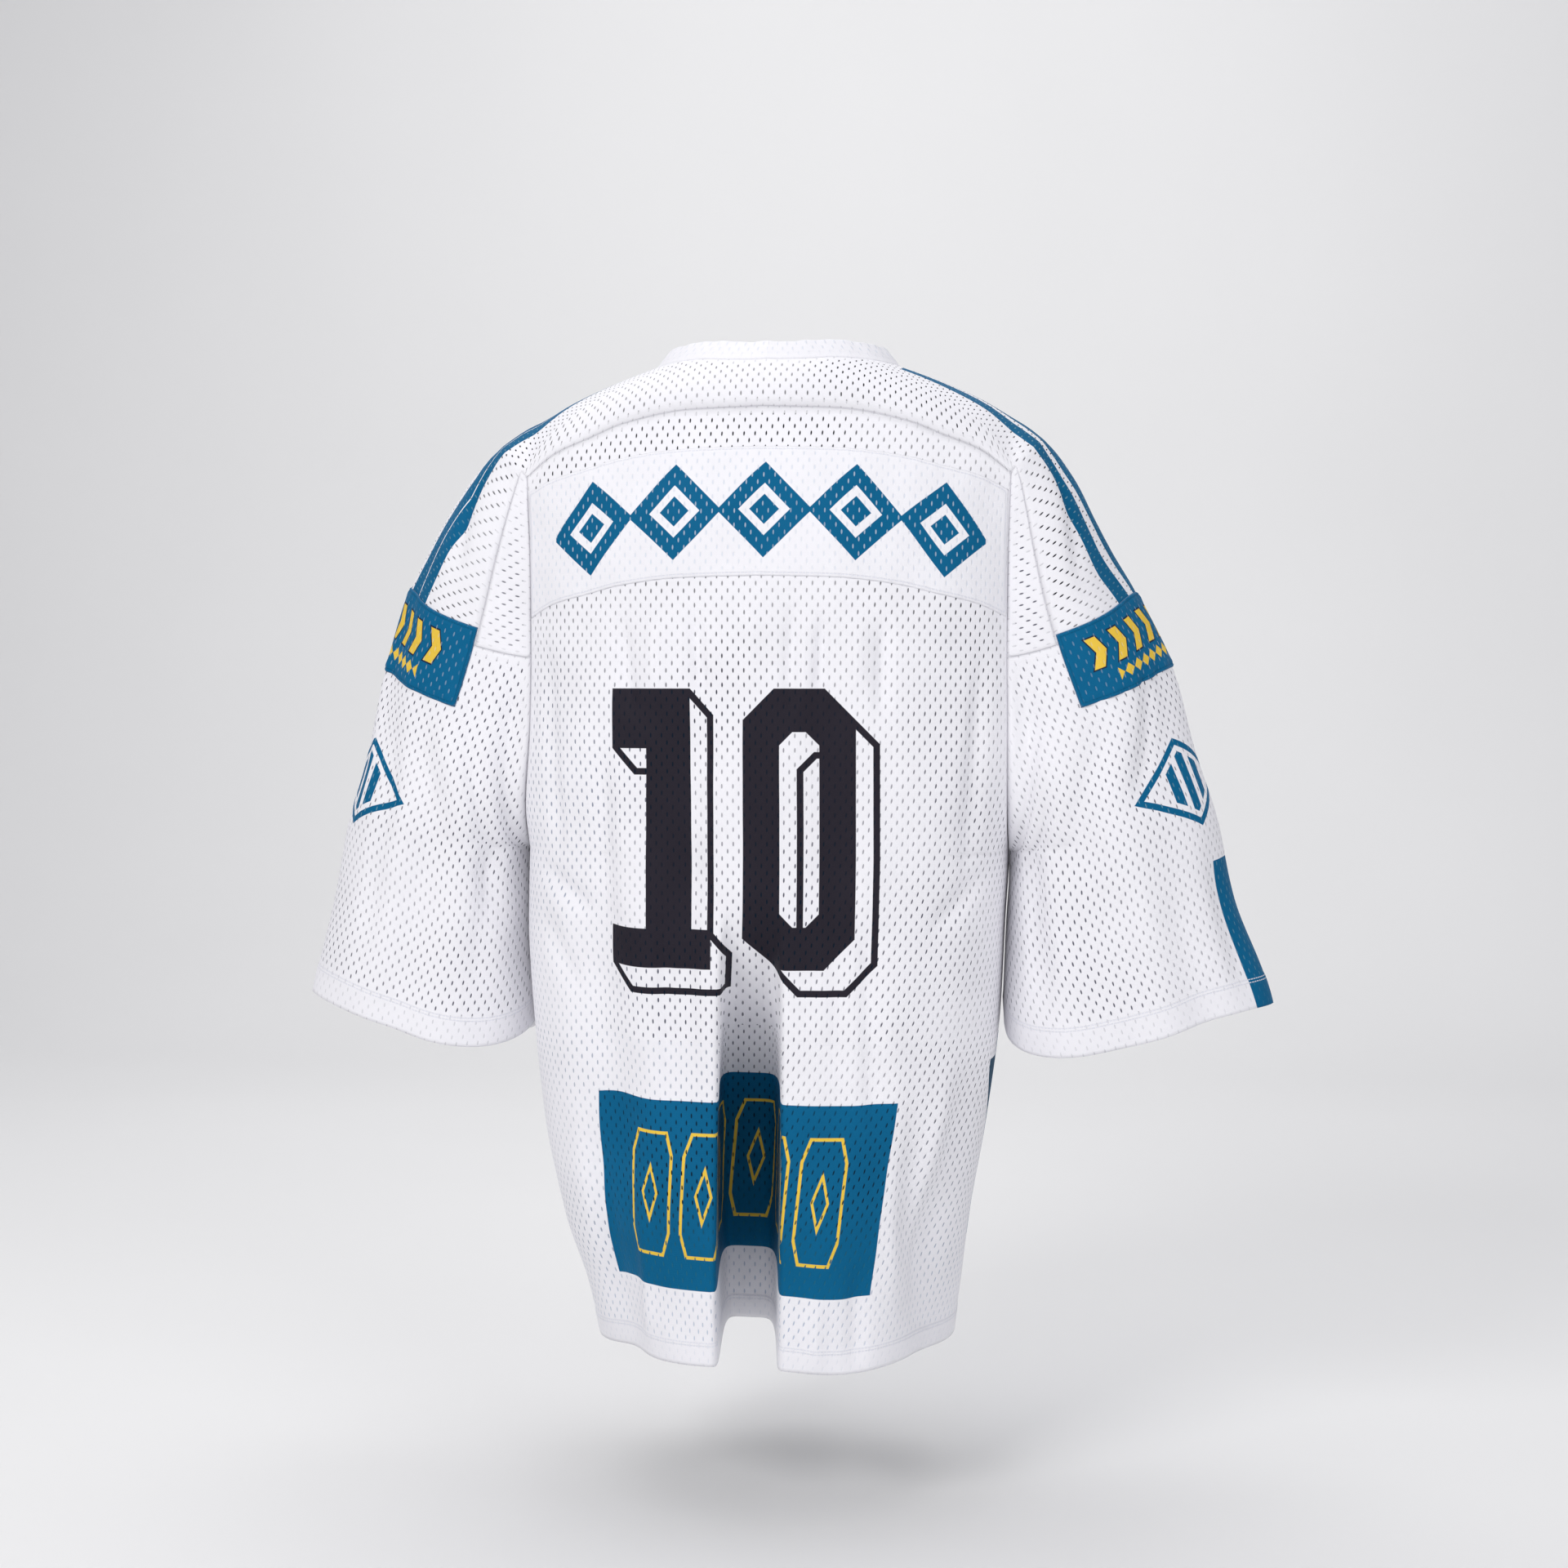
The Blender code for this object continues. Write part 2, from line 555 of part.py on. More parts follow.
def build():
    """Every panel, then the pieces sewn on them."""
    half = {"back": (0, SKIRT), "front": (AROUND - SKIRT, AROUND)}
    panels = {"back_panel": body_panel(1), "front_panel": body_panel(-1), "yoke": yoke_panel()}
    for side in (1, -1):
        for place, (first, last) in half.items():
            panels[f"upper_sleeve_{place}_{hand(side)}"] = sleeve_panel(side, UPPER_ROWS, first, last)
        panels[f"lower_sleeve_{hand(side)}"] = sleeve_panel(side, SLEEVE_ROWS, 0, AROUND)
    panels["collar_band"] = collar_band()
    normal_at = seam_normals(panels.values())

    plate_lines = range(BODY_ROWS.index(PLATE_TOP), BODY_ROWS.index(PLATE_FOOT))
    sewn_on = {"name_plate": part_of((panels["back_panel"], lambda column, line: line in plate_lines))}
    arm = len(UPPER_ROWS) - 1
    above = arm - UPPER_ROWS.index(PATCH_TOP)
    below = SLEEVE_ROWS.index(PATCH_FOOT)
    for side in (1, -1):
        arm_end = range(above) if side > 0 else range(COLUMNS + 2 * arm - above, COLUMNS + 2 * arm)
        sewn_on[f"sleeve_patch_{hand(side)}"] = part_of(
            (panels["yoke"], lambda column, line: column in arm_end),
            (
                panels[f"lower_sleeve_{hand(side)}"],
                lambda column, line: line < below and SKIRT <= column < SKIRT + SADDLE,
            ),
        )

    for name, surface in panels.items():
        wall(name, surface, normal_at, DOUBLED if name == "collar_band" else CLOTH, WHITE)
    for name, surface in sewn_on.items():
        colour = WHITE if name == "name_plate" else TEAL
        wall(name, surface, normal_at, SEWN_ON, colour, lift=SEAM_GAP + SEWN_ON, back=EDGE_BACK)


TOP_SECTION = {face: body_section(face, YOKE_CORNER) for face in (1, -1)}
TOP = {face: divided(TOP_SECTION[face], COLUMNS) for face in (1, -1)}

for leftover in list(bpy.data.objects):
    bpy.data.objects.remove(leftover)
COLLECTION = bpy.data.collections.new("mesh_sports_jersey")
bpy.context.scene.collection.children.link(COLLECTION)
JERSEY = bpy.data.objects.new("jersey", None)
COLLECTION.objects.link(JERSEY)
build()
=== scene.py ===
"""Mesh sports jersey with wide elbow-length sleeves, as it hangs when it is worn, in a pale studio.

Metres, +Z up. The wearer faces -Y, so the back is on the +Y side, and the wearer's left is +X. Each
piece of cloth is worked out row by row on the worn surface, at a height called its row, and then becomes a
thin sheet with its own cloth, trim and print maps.
"""

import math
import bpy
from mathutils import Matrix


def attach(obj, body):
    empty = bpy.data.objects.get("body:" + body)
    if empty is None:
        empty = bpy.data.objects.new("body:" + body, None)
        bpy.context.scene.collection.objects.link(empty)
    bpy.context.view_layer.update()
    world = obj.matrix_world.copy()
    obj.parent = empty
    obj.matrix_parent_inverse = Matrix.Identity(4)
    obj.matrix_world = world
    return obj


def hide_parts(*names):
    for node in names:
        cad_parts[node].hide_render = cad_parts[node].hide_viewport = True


bl_info = {
    "name": "Mesh sports jersey",
    "version": (1, 0, 0),
    "blender": (4, 5, 0),
    "location": "View3D > Sidebar > Jersey",
    "description": "Makes a worn mesh jersey piece by piece, with its prints, seams and mesh",
    "category": "Object",
}

import bpy
import numpy as np
from mathutils import Vector

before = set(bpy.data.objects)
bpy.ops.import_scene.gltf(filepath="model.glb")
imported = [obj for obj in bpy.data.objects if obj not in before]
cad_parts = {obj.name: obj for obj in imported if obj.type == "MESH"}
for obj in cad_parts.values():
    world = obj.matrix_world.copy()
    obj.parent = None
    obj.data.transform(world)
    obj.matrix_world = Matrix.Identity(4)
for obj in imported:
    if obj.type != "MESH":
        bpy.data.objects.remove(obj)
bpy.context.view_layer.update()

# ---- heights of the main rows
YOKE_CORNER = -0.098
PLATE_TOP = -0.112
PLATE_FOOT = -0.221
PATCH_TOP = -0.243
SLEEVE_SEAM = -0.253
PATCH_FOOT = -0.310
UNDERARM = -0.420
FOLD_OPEN = -0.575  # below this the cloth of the back fold is measured along its walls
CUFF = -0.572
HEM = -0.845

# ---- neck
NECK_HALF_WIDTH = 0.108
NECK_BACK = 0.075
NECK_FRONT = 0.092
COLLAR_HEIGHT = 0.021
COLLAR_LEAN = 0.62

# ---- unevenness of the cloth
SLOW_RIPPLE = 0.0011
QUICK_RIPPLE = 0.0006
SLEEVE_RIPPLE = 0.0010
CUFF_FLARE = 0.0090
SEAM_FADE = 0.016  # creases fade in over this length below the yoke's corner

# ---- grids
NECK_COLUMNS = 20
SIDE_COLUMNS = 44
HALF_COLUMNS = NECK_COLUMNS + SIDE_COLUMNS
SKIRT = 12
SADDLE = 44
AROUND = SADDLE + 2 * SKIRT
FINE = 1200

# ---- cloth and trimmings
FOLD_MIDDLE = 0.005
FOLD_REACH = 0.0265  # the walls of the back fold lie within this of its middle
TUCKED = 0.1034  # cloth hidden in each wall of the back fold, a whole number of slot spacings
SLEEVE_AXIS = 0.30
SLEEVE_FREE = -0.436  # here the sleeve is clear of the body
MARGIN = 0.0012  # a sewn-on piece ends this far inside its seam's row
SEWN_ON = 0.0007  # its thickness
NO_HEM = 0.2  # the distance from the hem on pieces that have none
HEM_STITCHES = (0.0170, 0.0195)
STITCH = 0.0032
THREAD = 0.0009
RIB = 0.0011
PRINT_EDGE = 0.0003
NUMBER_DROP = (0.020, 0.022)


def table(names, *rows):
    """A short table: each name gives its column as an array."""
    return dict(zip(names.split(), np.array(rows, float).T))


BODY = table(
    "row    left    right   back   front  square rise   drop",
    (-0.098, 0.2075, 0.2075, 0.100, 0.125, 2.2, 0.056, 0.030),
    (-0.112, 0.2070, 0.2070, 0.117, 0.136, 2.3, 0.036, 0.028),
    (-0.168, 0.2050, 0.2050, 0.135, 0.150, 2.4, 0.035, 0.016),
    (-0.221, 0.2045, 0.2045, 0.142, 0.156, 2.5, 0.034, 0.006),
    (-0.253, 0.2045, 0.2045, 0.144, 0.158, 2.5, 0.024, 0.002),
    (-0.310, 0.2055, 0.2050, 0.145, 0.158, 2.6, 0.010, 0.000),
    (-0.420, 0.2170, 0.2035, 0.144, 0.156, 2.7, 0.000, 0.000),
    (-0.480, 0.2185, 0.2000, 0.144, 0.156, 2.7, 0.000, 0.000),
    (-0.560, 0.2150, 0.1960, 0.144, 0.155, 2.6, 0.000, 0.000),
    (-0.660, 0.2045, 0.1835, 0.148, 0.156, 2.5, 0.000, 0.000),
    (-0.740, 0.1875, 0.1695, 0.152, 0.158, 2.4, 0.000, 0.000),
    (-0.800, 0.1675, 0.1620, 0.153, 0.159, 2.3, 0.000, 0.000),
    (-0.845, 0.1570, 0.1560, 0.154, 0.160, 2.3, 0.000, 0.000),
)
ARCH = table("across share", (0, 1), (0.30, 0.96), (0.58, 0.77), (0.72, 0.57), (0.88, 0.33), (1, 0))
SHOULDER = table(
    "out    left    right",
    (0.000, 0.0230, 0.0230),
    (0.050, 0.0180, 0.0180),
    (0.108, 0.0000, 0.0000),
    (0.175, -0.0265, -0.0275),
    (0.205, -0.0425, -0.0450),
    (0.220, -0.0495, -0.0545),
    (0.233, -0.0578, -0.0650),
    (0.243, -0.0650, -0.0740),
)
OUTER_ARM = table(
    "height  left    right",
    (-0.065, 0.2430, 0.2330),
    (-0.075, 0.2540, 0.2420),
    (-0.085, 0.2640, 0.2500),
    (-0.105, 0.2810, 0.2635),
    (-0.134, 0.3010, 0.2775),
    (-0.165, 0.3170, 0.2930),
    (-0.195, 0.3310, 0.3110),
    (-0.262, 0.3530, 0.3430),
    (-0.332, 0.3695, 0.3640),
    (-0.396, 0.3870, 0.3840),
    (-0.447, 0.3970, 0.3950),
    (-0.550, 0.4220, 0.4220),
)
SLEEVE = table(
    "row    clear  back   front  lift   bend  hang   split  full",
    (-0.098, 0.000, 0.078, 0.080, 0.033, 1.00, 0.000, 0.050, 0.000),
    (-0.112, 0.000, 0.078, 0.080, 0.036, 1.10, 0.000, 0.068, 0.003),
    (-0.168, 0.000, 0.078, 0.080, 0.043, 1.40, 0.000, 0.094, 0.010),
    (-0.253, 0.000, 0.078, 0.080, 0.048, 1.50, 0.000, 0.115, 0.014),
    (-0.310, 0.000, 0.079, 0.080, 0.048, 1.50, 0.000, 0.138, 0.014),
    (-0.420, 0.000, 0.082, 0.080, 0.040, 1.40, 0.000, 0.188, 0.006),
    (-0.436, 0.0012, 0.082, 0.080, 0.038, 1.35, 0.006, 0.188, 0.004),
    (-0.480, 0.0012, 0.080, 0.080, 0.032, 1.20, 0.018, 0.188, 0.002),
    (-0.540, 0.0015, 0.079, 0.079, 0.026, 1.07, 0.033, 0.188, 0.001),
    (-0.572, 0.0050, 0.078, 0.078, 0.022, 1.00, 0.040, 0.188, 0.000),
)

# Folds of the body: face +1 is the back. across is the place at the top and at the foot. depth is inward,
# lean moves the floor of the fold sideways, flare makes it wider than the mouth, and lift raises the row.
BODY_FOLDS = table(
    "face across_top across_foot top  full  foot  half_width edge depth lean flare lift",
    (1, 0.004, 0.006, -0.440, -0.690, -2.0, 0.0220, 6.5, 0.128, 0.019, 0.017, 0.012),
    (1, 0.150, 0.118, -0.300, -0.560, -2.0, 0.026, 2.0, 0.012, 0.000, 0.000, 0.004),
    (1, -0.110, -0.150, -0.560, -0.740, -2.0, 0.024, 2.0, 0.016, 0.000, 0.000, 0.000),
    (1, -0.070, -0.070, -0.500, -0.800, -2.0, 0.040, 2.0, 0.000, 0.000, 0.000, -0.005),
    (1, 0.052, 0.066, -0.230, -0.420, -0.8, 0.018, 2.0, 0.007, 0.000, 0.000, 0.000),
    (1, -0.058, -0.070, -0.230, -0.420, -0.8, 0.018, 2.0, 0.007, 0.000, 0.000, 0.000),
    (-1, 0.062, 0.058, -0.300, -0.640, -2.0, 0.030, 2.4, 0.050, 0.004, 0.000, 0.006),
    (-1, -0.074, -0.066, -0.340, -0.680, -2.0, 0.028, 2.4, 0.044, -0.004, 0.000, 0.005),
    (-1, 0.000, 0.004, -0.260, -0.520, -2.0, 0.026, 2.0, 0.010, 0.000, 0.000, 0.000),
)
SLEEVE_FOLDS = table(
    "side around_top around_foot top full half_width depth",
    (1, 0.200, 0.260, -0.230, -0.420, 0.040, 0.010),
    (1, 0.780, 0.720, -0.240, -0.460, 0.045, 0.009),
    (-1, 0.170, 0.225, -0.240, -0.440, 0.036, 0.011),
    (-1, 0.330, 0.345, -0.380, -0.520, 0.036, 0.008),
    (-1, 0.790, 0.730, -0.240, -0.460, 0.045, 0.009),
)

# Creases too small for the solids. On the body each runs from one place to another, and depth is inward.
BODY_CREASES = table(
    "face x_from z_from x_to z_to half_width depth",
    (1, 0.116, -0.222, 0.106, -0.3, 0.008, 0.0047),
    (1, 0.086, -0.222, 0.084, -0.29, 0.009, -0.0034),
    (1, 0.052, -0.215, 0.046, -0.285, 0.007, 0.005),
    (1, 0.004, -0.215, 0.006, -0.28, 0.01, -0.0031),
    (1, -0.03, -0.215, -0.028, -0.3, 0.006, 0.0043),
    (1, -0.056, -0.218, -0.052, -0.29, 0.0065, 0.0053),
    (1, -0.085, -0.218, -0.083, -0.28, 0.0085, -0.0034),
    (1, -0.105, -0.222, -0.104, -0.3, 0.007, 0.0047),
    (1, 0.133, -0.33, 0.131, -0.5, 0.01, 0.0059),
    (1, 0.079, -0.47, 0.076, -0.61, 0.008, 0.0056),
    (1, 0.046, -0.47, 0.044, -0.6, 0.009, -0.004),
    (1, -0.057, -0.44, -0.056, -0.58, 0.01, -0.0037),
    (1, -0.092, -0.48, -0.098, -0.64, 0.009, 0.0053),
    (1, -0.118, -0.6, -0.116, -0.8, 0.011, -0.0062),
    (1, -0.178, -0.6, -0.14, -0.8, 0.011, 0.0093),
    (1, -0.16, -0.6, -0.128, -0.78, 0.007, -0.0037),
    (1, 0.15, -0.64, 0.128, -0.82, 0.01, 0.0062),
    (1, 0.102, -0.7, 0.096, -0.835, 0.008, -0.0043),
    (1, -0.086, -0.76, -0.082, -0.845, 0.008, 0.0043),
    (1, -0.052, -0.78, -0.05, -0.845, 0.007, -0.0031),
    (1, 0.186, -0.25, 0.176, -0.42, 0.007, 0.0047),
    (1, -0.186, -0.25, -0.172, -0.44, 0.0075, 0.0053),
    (1, 0.192, -0.43, 0.15, -0.47, 0.008, 0.0053),
    (1, -0.192, -0.43, -0.146, -0.48, 0.008, 0.0053),
    (1, 0.19, -0.47, 0.16, -0.54, 0.009, 0.0043),
    (-1, 0.12, -0.19, 0.11, -0.36, 0.01, 0.0053),
    (-1, 0.03, -0.16, 0.026, -0.3, 0.008, 0.0047),
    (-1, -0.04, -0.15, -0.036, -0.33, 0.0085, 0.0053),
    (-1, -0.116, -0.2, -0.108, -0.38, 0.01, 0.0056),
    (-1, 0, -0.18, 0.004, -0.26, 0.01, -0.0031),
    (-1, 0.19, -0.43, 0.14, -0.48, 0.0085, 0.0062),
    (-1, -0.19, -0.43, -0.136, -0.49, 0.0085, 0.0062),
    (-1, 0.17, -0.5, 0.13, -0.64, 0.01, 0.0056),
    (-1, -0.17, -0.52, -0.128, -0.66, 0.01, 0.0053),
    (-1, 0.104, -0.62, 0.1, -0.84, 0.01, 0.0078),
    (-1, -0.106, -0.64, -0.104, -0.84, 0.0095, 0.0071),
    (-1, 0.02, -0.56, 0.02, -0.82, 0.009, 0.0062),
    (-1, -0.022, -0.6, -0.02, -0.84, 0.0085, 0.0053),
    (-1, 0.14, -0.7, 0.132, -0.845, 0.009, -0.0047),
)
# On a sleeve each runs from a place around it, 0 at the back seam and 1 at the front, to one in another row.
SLEEVE_CREASES = table(
    "side around_from row_from around_to row_to half_width depth",
    (1, 0.03, -0.27, 0.06, -0.42, 0.02, 0.0075),
    (1, 0.11, -0.3, 0.15, -0.52, 0.016, 0.0054),
    (1, 0.32, -0.36, 0.33, -0.54, 0.02, 0.0045),
    (1, 0.16, -0.42, 0.1, -0.48, 0.014, 0.0045),
    (1, 0.4, -0.27, 0.39, -0.42, 0.02, -0.003),
    (1, 0.28, -0.12, 0.18, -0.2, 0.018, 0.0045),
    (1, 0.64, -0.3, 0.62, -0.54, 0.02, 0.0054),
    (1, 0.88, -0.28, 0.86, -0.48, 0.018, 0.0063),
    (1, 0.55, -0.4, 0.54, -0.56, 0.018, 0.0039),
    (-1, 0.035, -0.27, 0.06, -0.43, 0.02, 0.0075),
    (-1, 0.1, -0.36, 0.14, -0.54, 0.016, 0.006),
    (-1, 0.3, -0.3, 0.3, -0.4, 0.018, 0.0045),
    (-1, 0.25, -0.43, 0.27, -0.56, 0.014, 0.0045),
    (-1, 0.42, -0.45, 0.42, -0.565, 0.016, 0.0042),
    (-1, 0.3, -0.12, 0.2, -0.21, 0.02, 0.0045),
    (-1, 0.65, -0.3, 0.64, -0.54, 0.02, 0.0054),
    (-1, 0.88, -0.28, 0.87, -0.49, 0.018, 0.0063),
    (-1, 0.57, -0.42, 0.56, -0.56, 0.018, 0.0039),
)

# How far the rear stripe of each shoulder runs from the crest, behind it where negative.
LEFT_STRIPE = table(
    "out from_crest",
    (0.12, -0.021), (0.16, -0.028), (0.2, -0.043), (0.237, -0.05),
    (0.264, -0.066), (0.3, -0.058), (0.325, -0.051), (0.34, -0.047),
)
RIGHT_STRIPE = table(
    "out from_crest",
    (0.13, -0.035), (0.188, -0.039), (0.22, -0.048), (0.25, -0.052), (0.28, -0.047), (0.314, -0.031),
)


# ---- curves through tables

def smooth(columns, key, value, at):
    """The value at a key, on a curve through the table's rows that never overshoots them."""
    x, y = columns[key], columns[value]
    if x[0] > x[-1]:
        x, y = x[::-1], y[::-1]
    steps = np.diff(x)
    slopes = np.diff(y) / steps
    tangents = np.zeros(len(x))
    for i in range(1, len(x) - 1):
        if slopes[i - 1] * slopes[i] > 0:
            before, after = steps[i] * 2 + steps[i - 1], steps[i] + steps[i - 1] * 2
            tangents[i] = (before + after) / (before / slopes[i - 1] + after / slopes[i])
    tangents[0], tangents[-1] = slopes[0], slopes[-1]
    at = np.clip(at, x[0], x[-1])
    i = np.clip(np.searchsorted(x, at) - 1, 0, len(slopes) - 1)
    t = (at - x[i]) / steps[i]
    return (
        y[i] * (1 + 2 * t) * (1 - t) ** 2
        + tangents[i] * steps[i] * t * (1 - t) ** 2
        + y[i + 1] * t * t * (3 - 2 * t)
        + tangents[i + 1] * steps[i] * t * t * (t - 1)
    )


def ease(value, start, end):
    t = np.clip((value - start) / (end - start), 0, 1)
    return t * t * (3 - 2 * t)


def hand(side):
    return "left" if side > 0 else "right"


def rows_of(columns):
    return [dict(zip(columns, row)) for row in zip(*columns.values())]


def along(points):
    """The distance run along a line of points."""
    return np.concatenate([[0], np.cumsum(np.linalg.norm(np.diff(points, axis=0), axis=1))])


def steps_between(count, *stops):
    """Rows that pass through every stop, about count of them, evenly spaced."""
    total = abs(stops[-1] - stops[0])
    rows = [np.array(stops[:1])]
    for a, b in zip(stops, stops[1:]):
        rows.append(np.linspace(a, b, max(1, round(count * abs(b - a) / total)) + 1)[1:])
    return np.concatenate(rows)


def spaced(points, at, run):
    """Points at these distances along a line."""
    return np.column_stack([np.interp(at, run, points[:, axis]) for axis in range(3)])


def crease(x, y, from_x, from_y, to_x, to_y, half_width, depth):
    """A soft trough from one place to another, fading at both ends."""
    run = np.array([to_x - from_x, to_y - from_y])
    share = ((x - from_x) * run[0] + (y - from_y) * run[1]) / (run @ run)
    away = np.abs((x - from_x) * run[1] - (y - from_y) * run[0]) / math.hypot(*run)
    fade = ease(share, -0.15, 0.3) * (1 - ease(share, 0.7, 1.15))
    return depth * np.exp(-((away / half_width) ** 2)) * fade


def creases(columns, kind, x, y):
    """All the creases of one face or one side."""
    return sum((crease(x, y, *row[1:]) for row in zip(*columns.values()) if row[0] == kind), np.zeros(len(x)))


# ---- the body

def armhole_open(row):
    down = np.clip((PATCH_FOOT - row) / (PATCH_FOOT - UNDERARM), 0, 1)
    return np.sqrt(1 - down * down)


def fold_moves(face, row, x, z):
    """How far the folds and creases move each point of a section in, sideways and up."""
    inward, sideways, up = np.zeros((3, len(x)))
    from_middle_line = x / np.where(x > 0, x[0], x[-1])
    held = 1 - from_middle_line ** 12
    for fold in rows_of(BODY_FOLDS):
        if fold["face"] != face:
            continue
        share = ease(row, fold["top"], fold["full"])
        if fold["foot"] > HEM:
            share *= 1 - ease(row, fold["full"], fold["foot"])
        middle = fold["across_top"] + (fold["across_foot"] - fold["across_top"]) * ease(row, fold["top"], HEM)
        shape = np.exp(-np.abs((x - middle) / fold["half_width"]) ** fold["edge"]) * held
        inward += share * fold["depth"] * shape
        sideways += share * (fold["lean"] + fold["flare"] * (x - middle) / fold["half_width"]) * shape
        up += share * fold["lift"] * shape
    fine = creases(BODY_CREASES, face, x, z)
    phase = 1.3 if face > 0 else 4.1
    fine += SLOW_RIPPLE * np.sin(x * 52 + z * 13 + phase) * np.sin(z * 31 - x * 17 + phase)
    fine += QUICK_RIPPLE * np.sin(x * 115 - z * 40 + 2 * phase) * np.sin(z * 74 + x * 21)
    fade = ease(YOKE_CORNER - row, 0, SEAM_FADE) * (1 - from_middle_line ** 16)
    return inward + fine * fade, sideways, up


def body_section(face, row):
    """The unfolded and the folded line of the back (+1) or front (-1) in a row, from left seam to right."""
    left, right, square = (smooth(BODY, "row", name, row) for name in ("left", "right", "square"))
    depth = smooth(BODY, "row", "back" if face > 0 else "front", row)
    seam = smooth(SLEEVE, "row", "back" if face > 0 else "front", row) * armhole_open(row)
    start = math.asin((seam / depth) ** (square / 2))
    angle = np.linspace(start, math.pi - start, FINE + 1)
    side = np.where(angle < math.pi / 2, left, right)
    x = side * np.sign(np.cos(angle)) * (np.abs(np.cos(angle)) / math.cos(start)) ** (2 / square)
    y = depth * np.sin(angle) ** (2 / square)
    arch = smooth(ARCH, "across", "share", np.abs(x) / side)
    z = row + arch * (smooth(BODY, "row", "rise", row) if face > 0 else -smooth(BODY, "row", "drop", row))
    plain = np.column_stack([x, face * y, z])
    along_x, along_y = np.gradient(x), np.gradient(y)
    length = np.hypot(along_x, along_y)
    inward, sideways, up = fold_moves(face, row, x, z)
    x, y = x - inward * along_y / length + sideways, y + inward * along_x / length
    return plain, np.column_stack([x, face * y, z + up])


def body_grid(face, rows, columns):
    """Points of a body panel, the cloth's place across and up, its place in the fold's walls, its plain x."""
    points, cloth, walls, plain_x = [], [], [], []
    plain = body_section(face, UNDERARM)[0]
    under = np.interp(0, -plain[:, 0], along(plain)) - along(plain)
    for row in rows:
        plain, folded = body_section(face, row)
        run, flat = along(folded), along(plain)
        at = np.linspace(0, run[-1], columns + 1)
        flat = np.interp(0, -plain[:, 0], flat) - flat
        if row < UNDERARM:
            flat *= np.where(flat > 0, under[0] / flat[0], under[-1] / flat[-1])
        points.append(spaced(folded, at, run))
        cloth.append(np.column_stack([np.interp(at, run, flat), np.interp(at, run, plain[:, 2])]))
        walls.append(np.interp(-FOLD_MIDDLE, -plain[:, 0], run) - at)
        plain_x.append(np.interp(at, run, plain[:, 0]))
    return [np.array(values) for values in (points, cloth, walls, plain_x)]


# ---- the sleeves

def sleeve_columns(row):
    split = smooth(SLEEVE, "row", "split", row)
    return np.concatenate([
        np.linspace(0, split, SKIRT + 1),
        np.linspace(split, 1 - split, SADDLE + 1)[1:],
        np.linspace(1 - split, 1, SKIRT + 1)[1:],
    ])


def sleeve_ring(side, around, row):
    """Points of a sleeve in one row: side is +1 for the wearer's left."""
    at = {name: smooth(SLEEVE, "row", name, row) for name in SLEEVE if name != "row"}
    face, turn = np.where(around <= 0.5, 1, -1), np.minimum(around, 1 - around)
    depth = np.where(face > 0, at["back"], at["front"])
    inner = smooth(BODY, "row", hand(side), row) + at["clear"]
    outer = smooth(OUTER_ARM, "height", hand(side), row + at["lift"])
    start = math.asin(armhole_open(row))
    spread = 1 + 3 * (1 - start / (math.pi / 2)) ** 2
    angle = 2 * math.pi * turn + start * (1 - 2 * turn) ** spread
    half_width = (outer - inner) / (1 + math.cos(start))
    x = outer - half_width * (1 + np.cos(angle))
    y = depth * np.sin(angle)
    share = np.clip((x - inner) / (outer - inner), 0, 1)
    inward = -at["full"] * np.sin(math.pi * np.minimum(turn / 0.38, 1)) ** 2
    for fold in rows_of(SLEEVE_FOLDS):
        if fold["side"] == side:
            down = ease(row, fold["top"], CUFF)
            middle = fold["around_top"] + (fold["around_foot"] - fold["around_top"]) * down
            shape = np.exp(-(((around - middle) / fold["half_width"]) ** 2))
            inward = inward + fold["depth"] * ease(row, fold["top"], fold["full"]) * shape
    fine = creases(SLEEVE_CREASES, side, around, row)
    fine += SLEEVE_RIPPLE * np.sin(around * 23 + row * 17 + side) * np.sin(row * 41 - around * 9)
    if side < 0:  # the right cuff stands out at its outer side
        fine -= CUFF_FLARE * np.exp(-(((around - 0.49) / 0.07) ** 2)) * ease(row, -0.49, CUFF)
    inward = inward + fine * ease(turn, 0, 0.02) * ease(YOKE_CORNER - row, 0, SEAM_FADE)
    out_x, out_y = -depth * np.cos(angle), half_width * np.sin(angle)
    length = np.hypot(out_x, out_y)
    hang = at["hang"] * (1 - share) * np.abs(y) / depth
    z = row + at["lift"] * share ** at["bend"] - hang
    return np.column_stack([side * (x - inward * out_x / length), face * (y - inward * out_y / length), z])


def sleeve_grid(side, rows, first, last):
    return np.array([sleeve_ring(side, sleeve_columns(row), row)[first:last + 1] for row in rows])


# ---- the yoke

TOP_SECTION = {face: body_section(face, YOKE_CORNER)[1] for face in (1, -1)}
TOP = {
    face: spaced(section, np.linspace(0, along(section)[-1], 2 * HALF_COLUMNS + 1), along(section))
    for face, section in TOP_SECTION.items()
}


def neck_point(angle):
    """The neck seam in plan. The angle is 0 at the back, and the wearer's left is positive."""
    reach = NECK_BACK if math.cos(angle) > 0 else NECK_FRONT
    return np.array([NECK_HALF_WIDTH * math.sin(angle), reach * math.cos(angle)])


def yoke_height(x, y):
    """Height of the shoulders over a place in plan."""
    seam = TOP_SECTION[1 if y >= 0 else -1][::-1]
    seam_y, seam_z = (np.interp(abs(x), seam[:, 0], seam[:, axis]) for axis in (1, 2))
    ridge = smooth(SHOULDER, "out", hand(x), abs(x))
    bend = 2.0 if y >= 0 else 1.15 + 0.85 * min(abs(x) / 0.2, 1) ** 2
    away = min(abs(y / seam_y), 1)
    return seam_z + (ridge - seam_z) * (1 - away ** bend) ** (1 / bend)


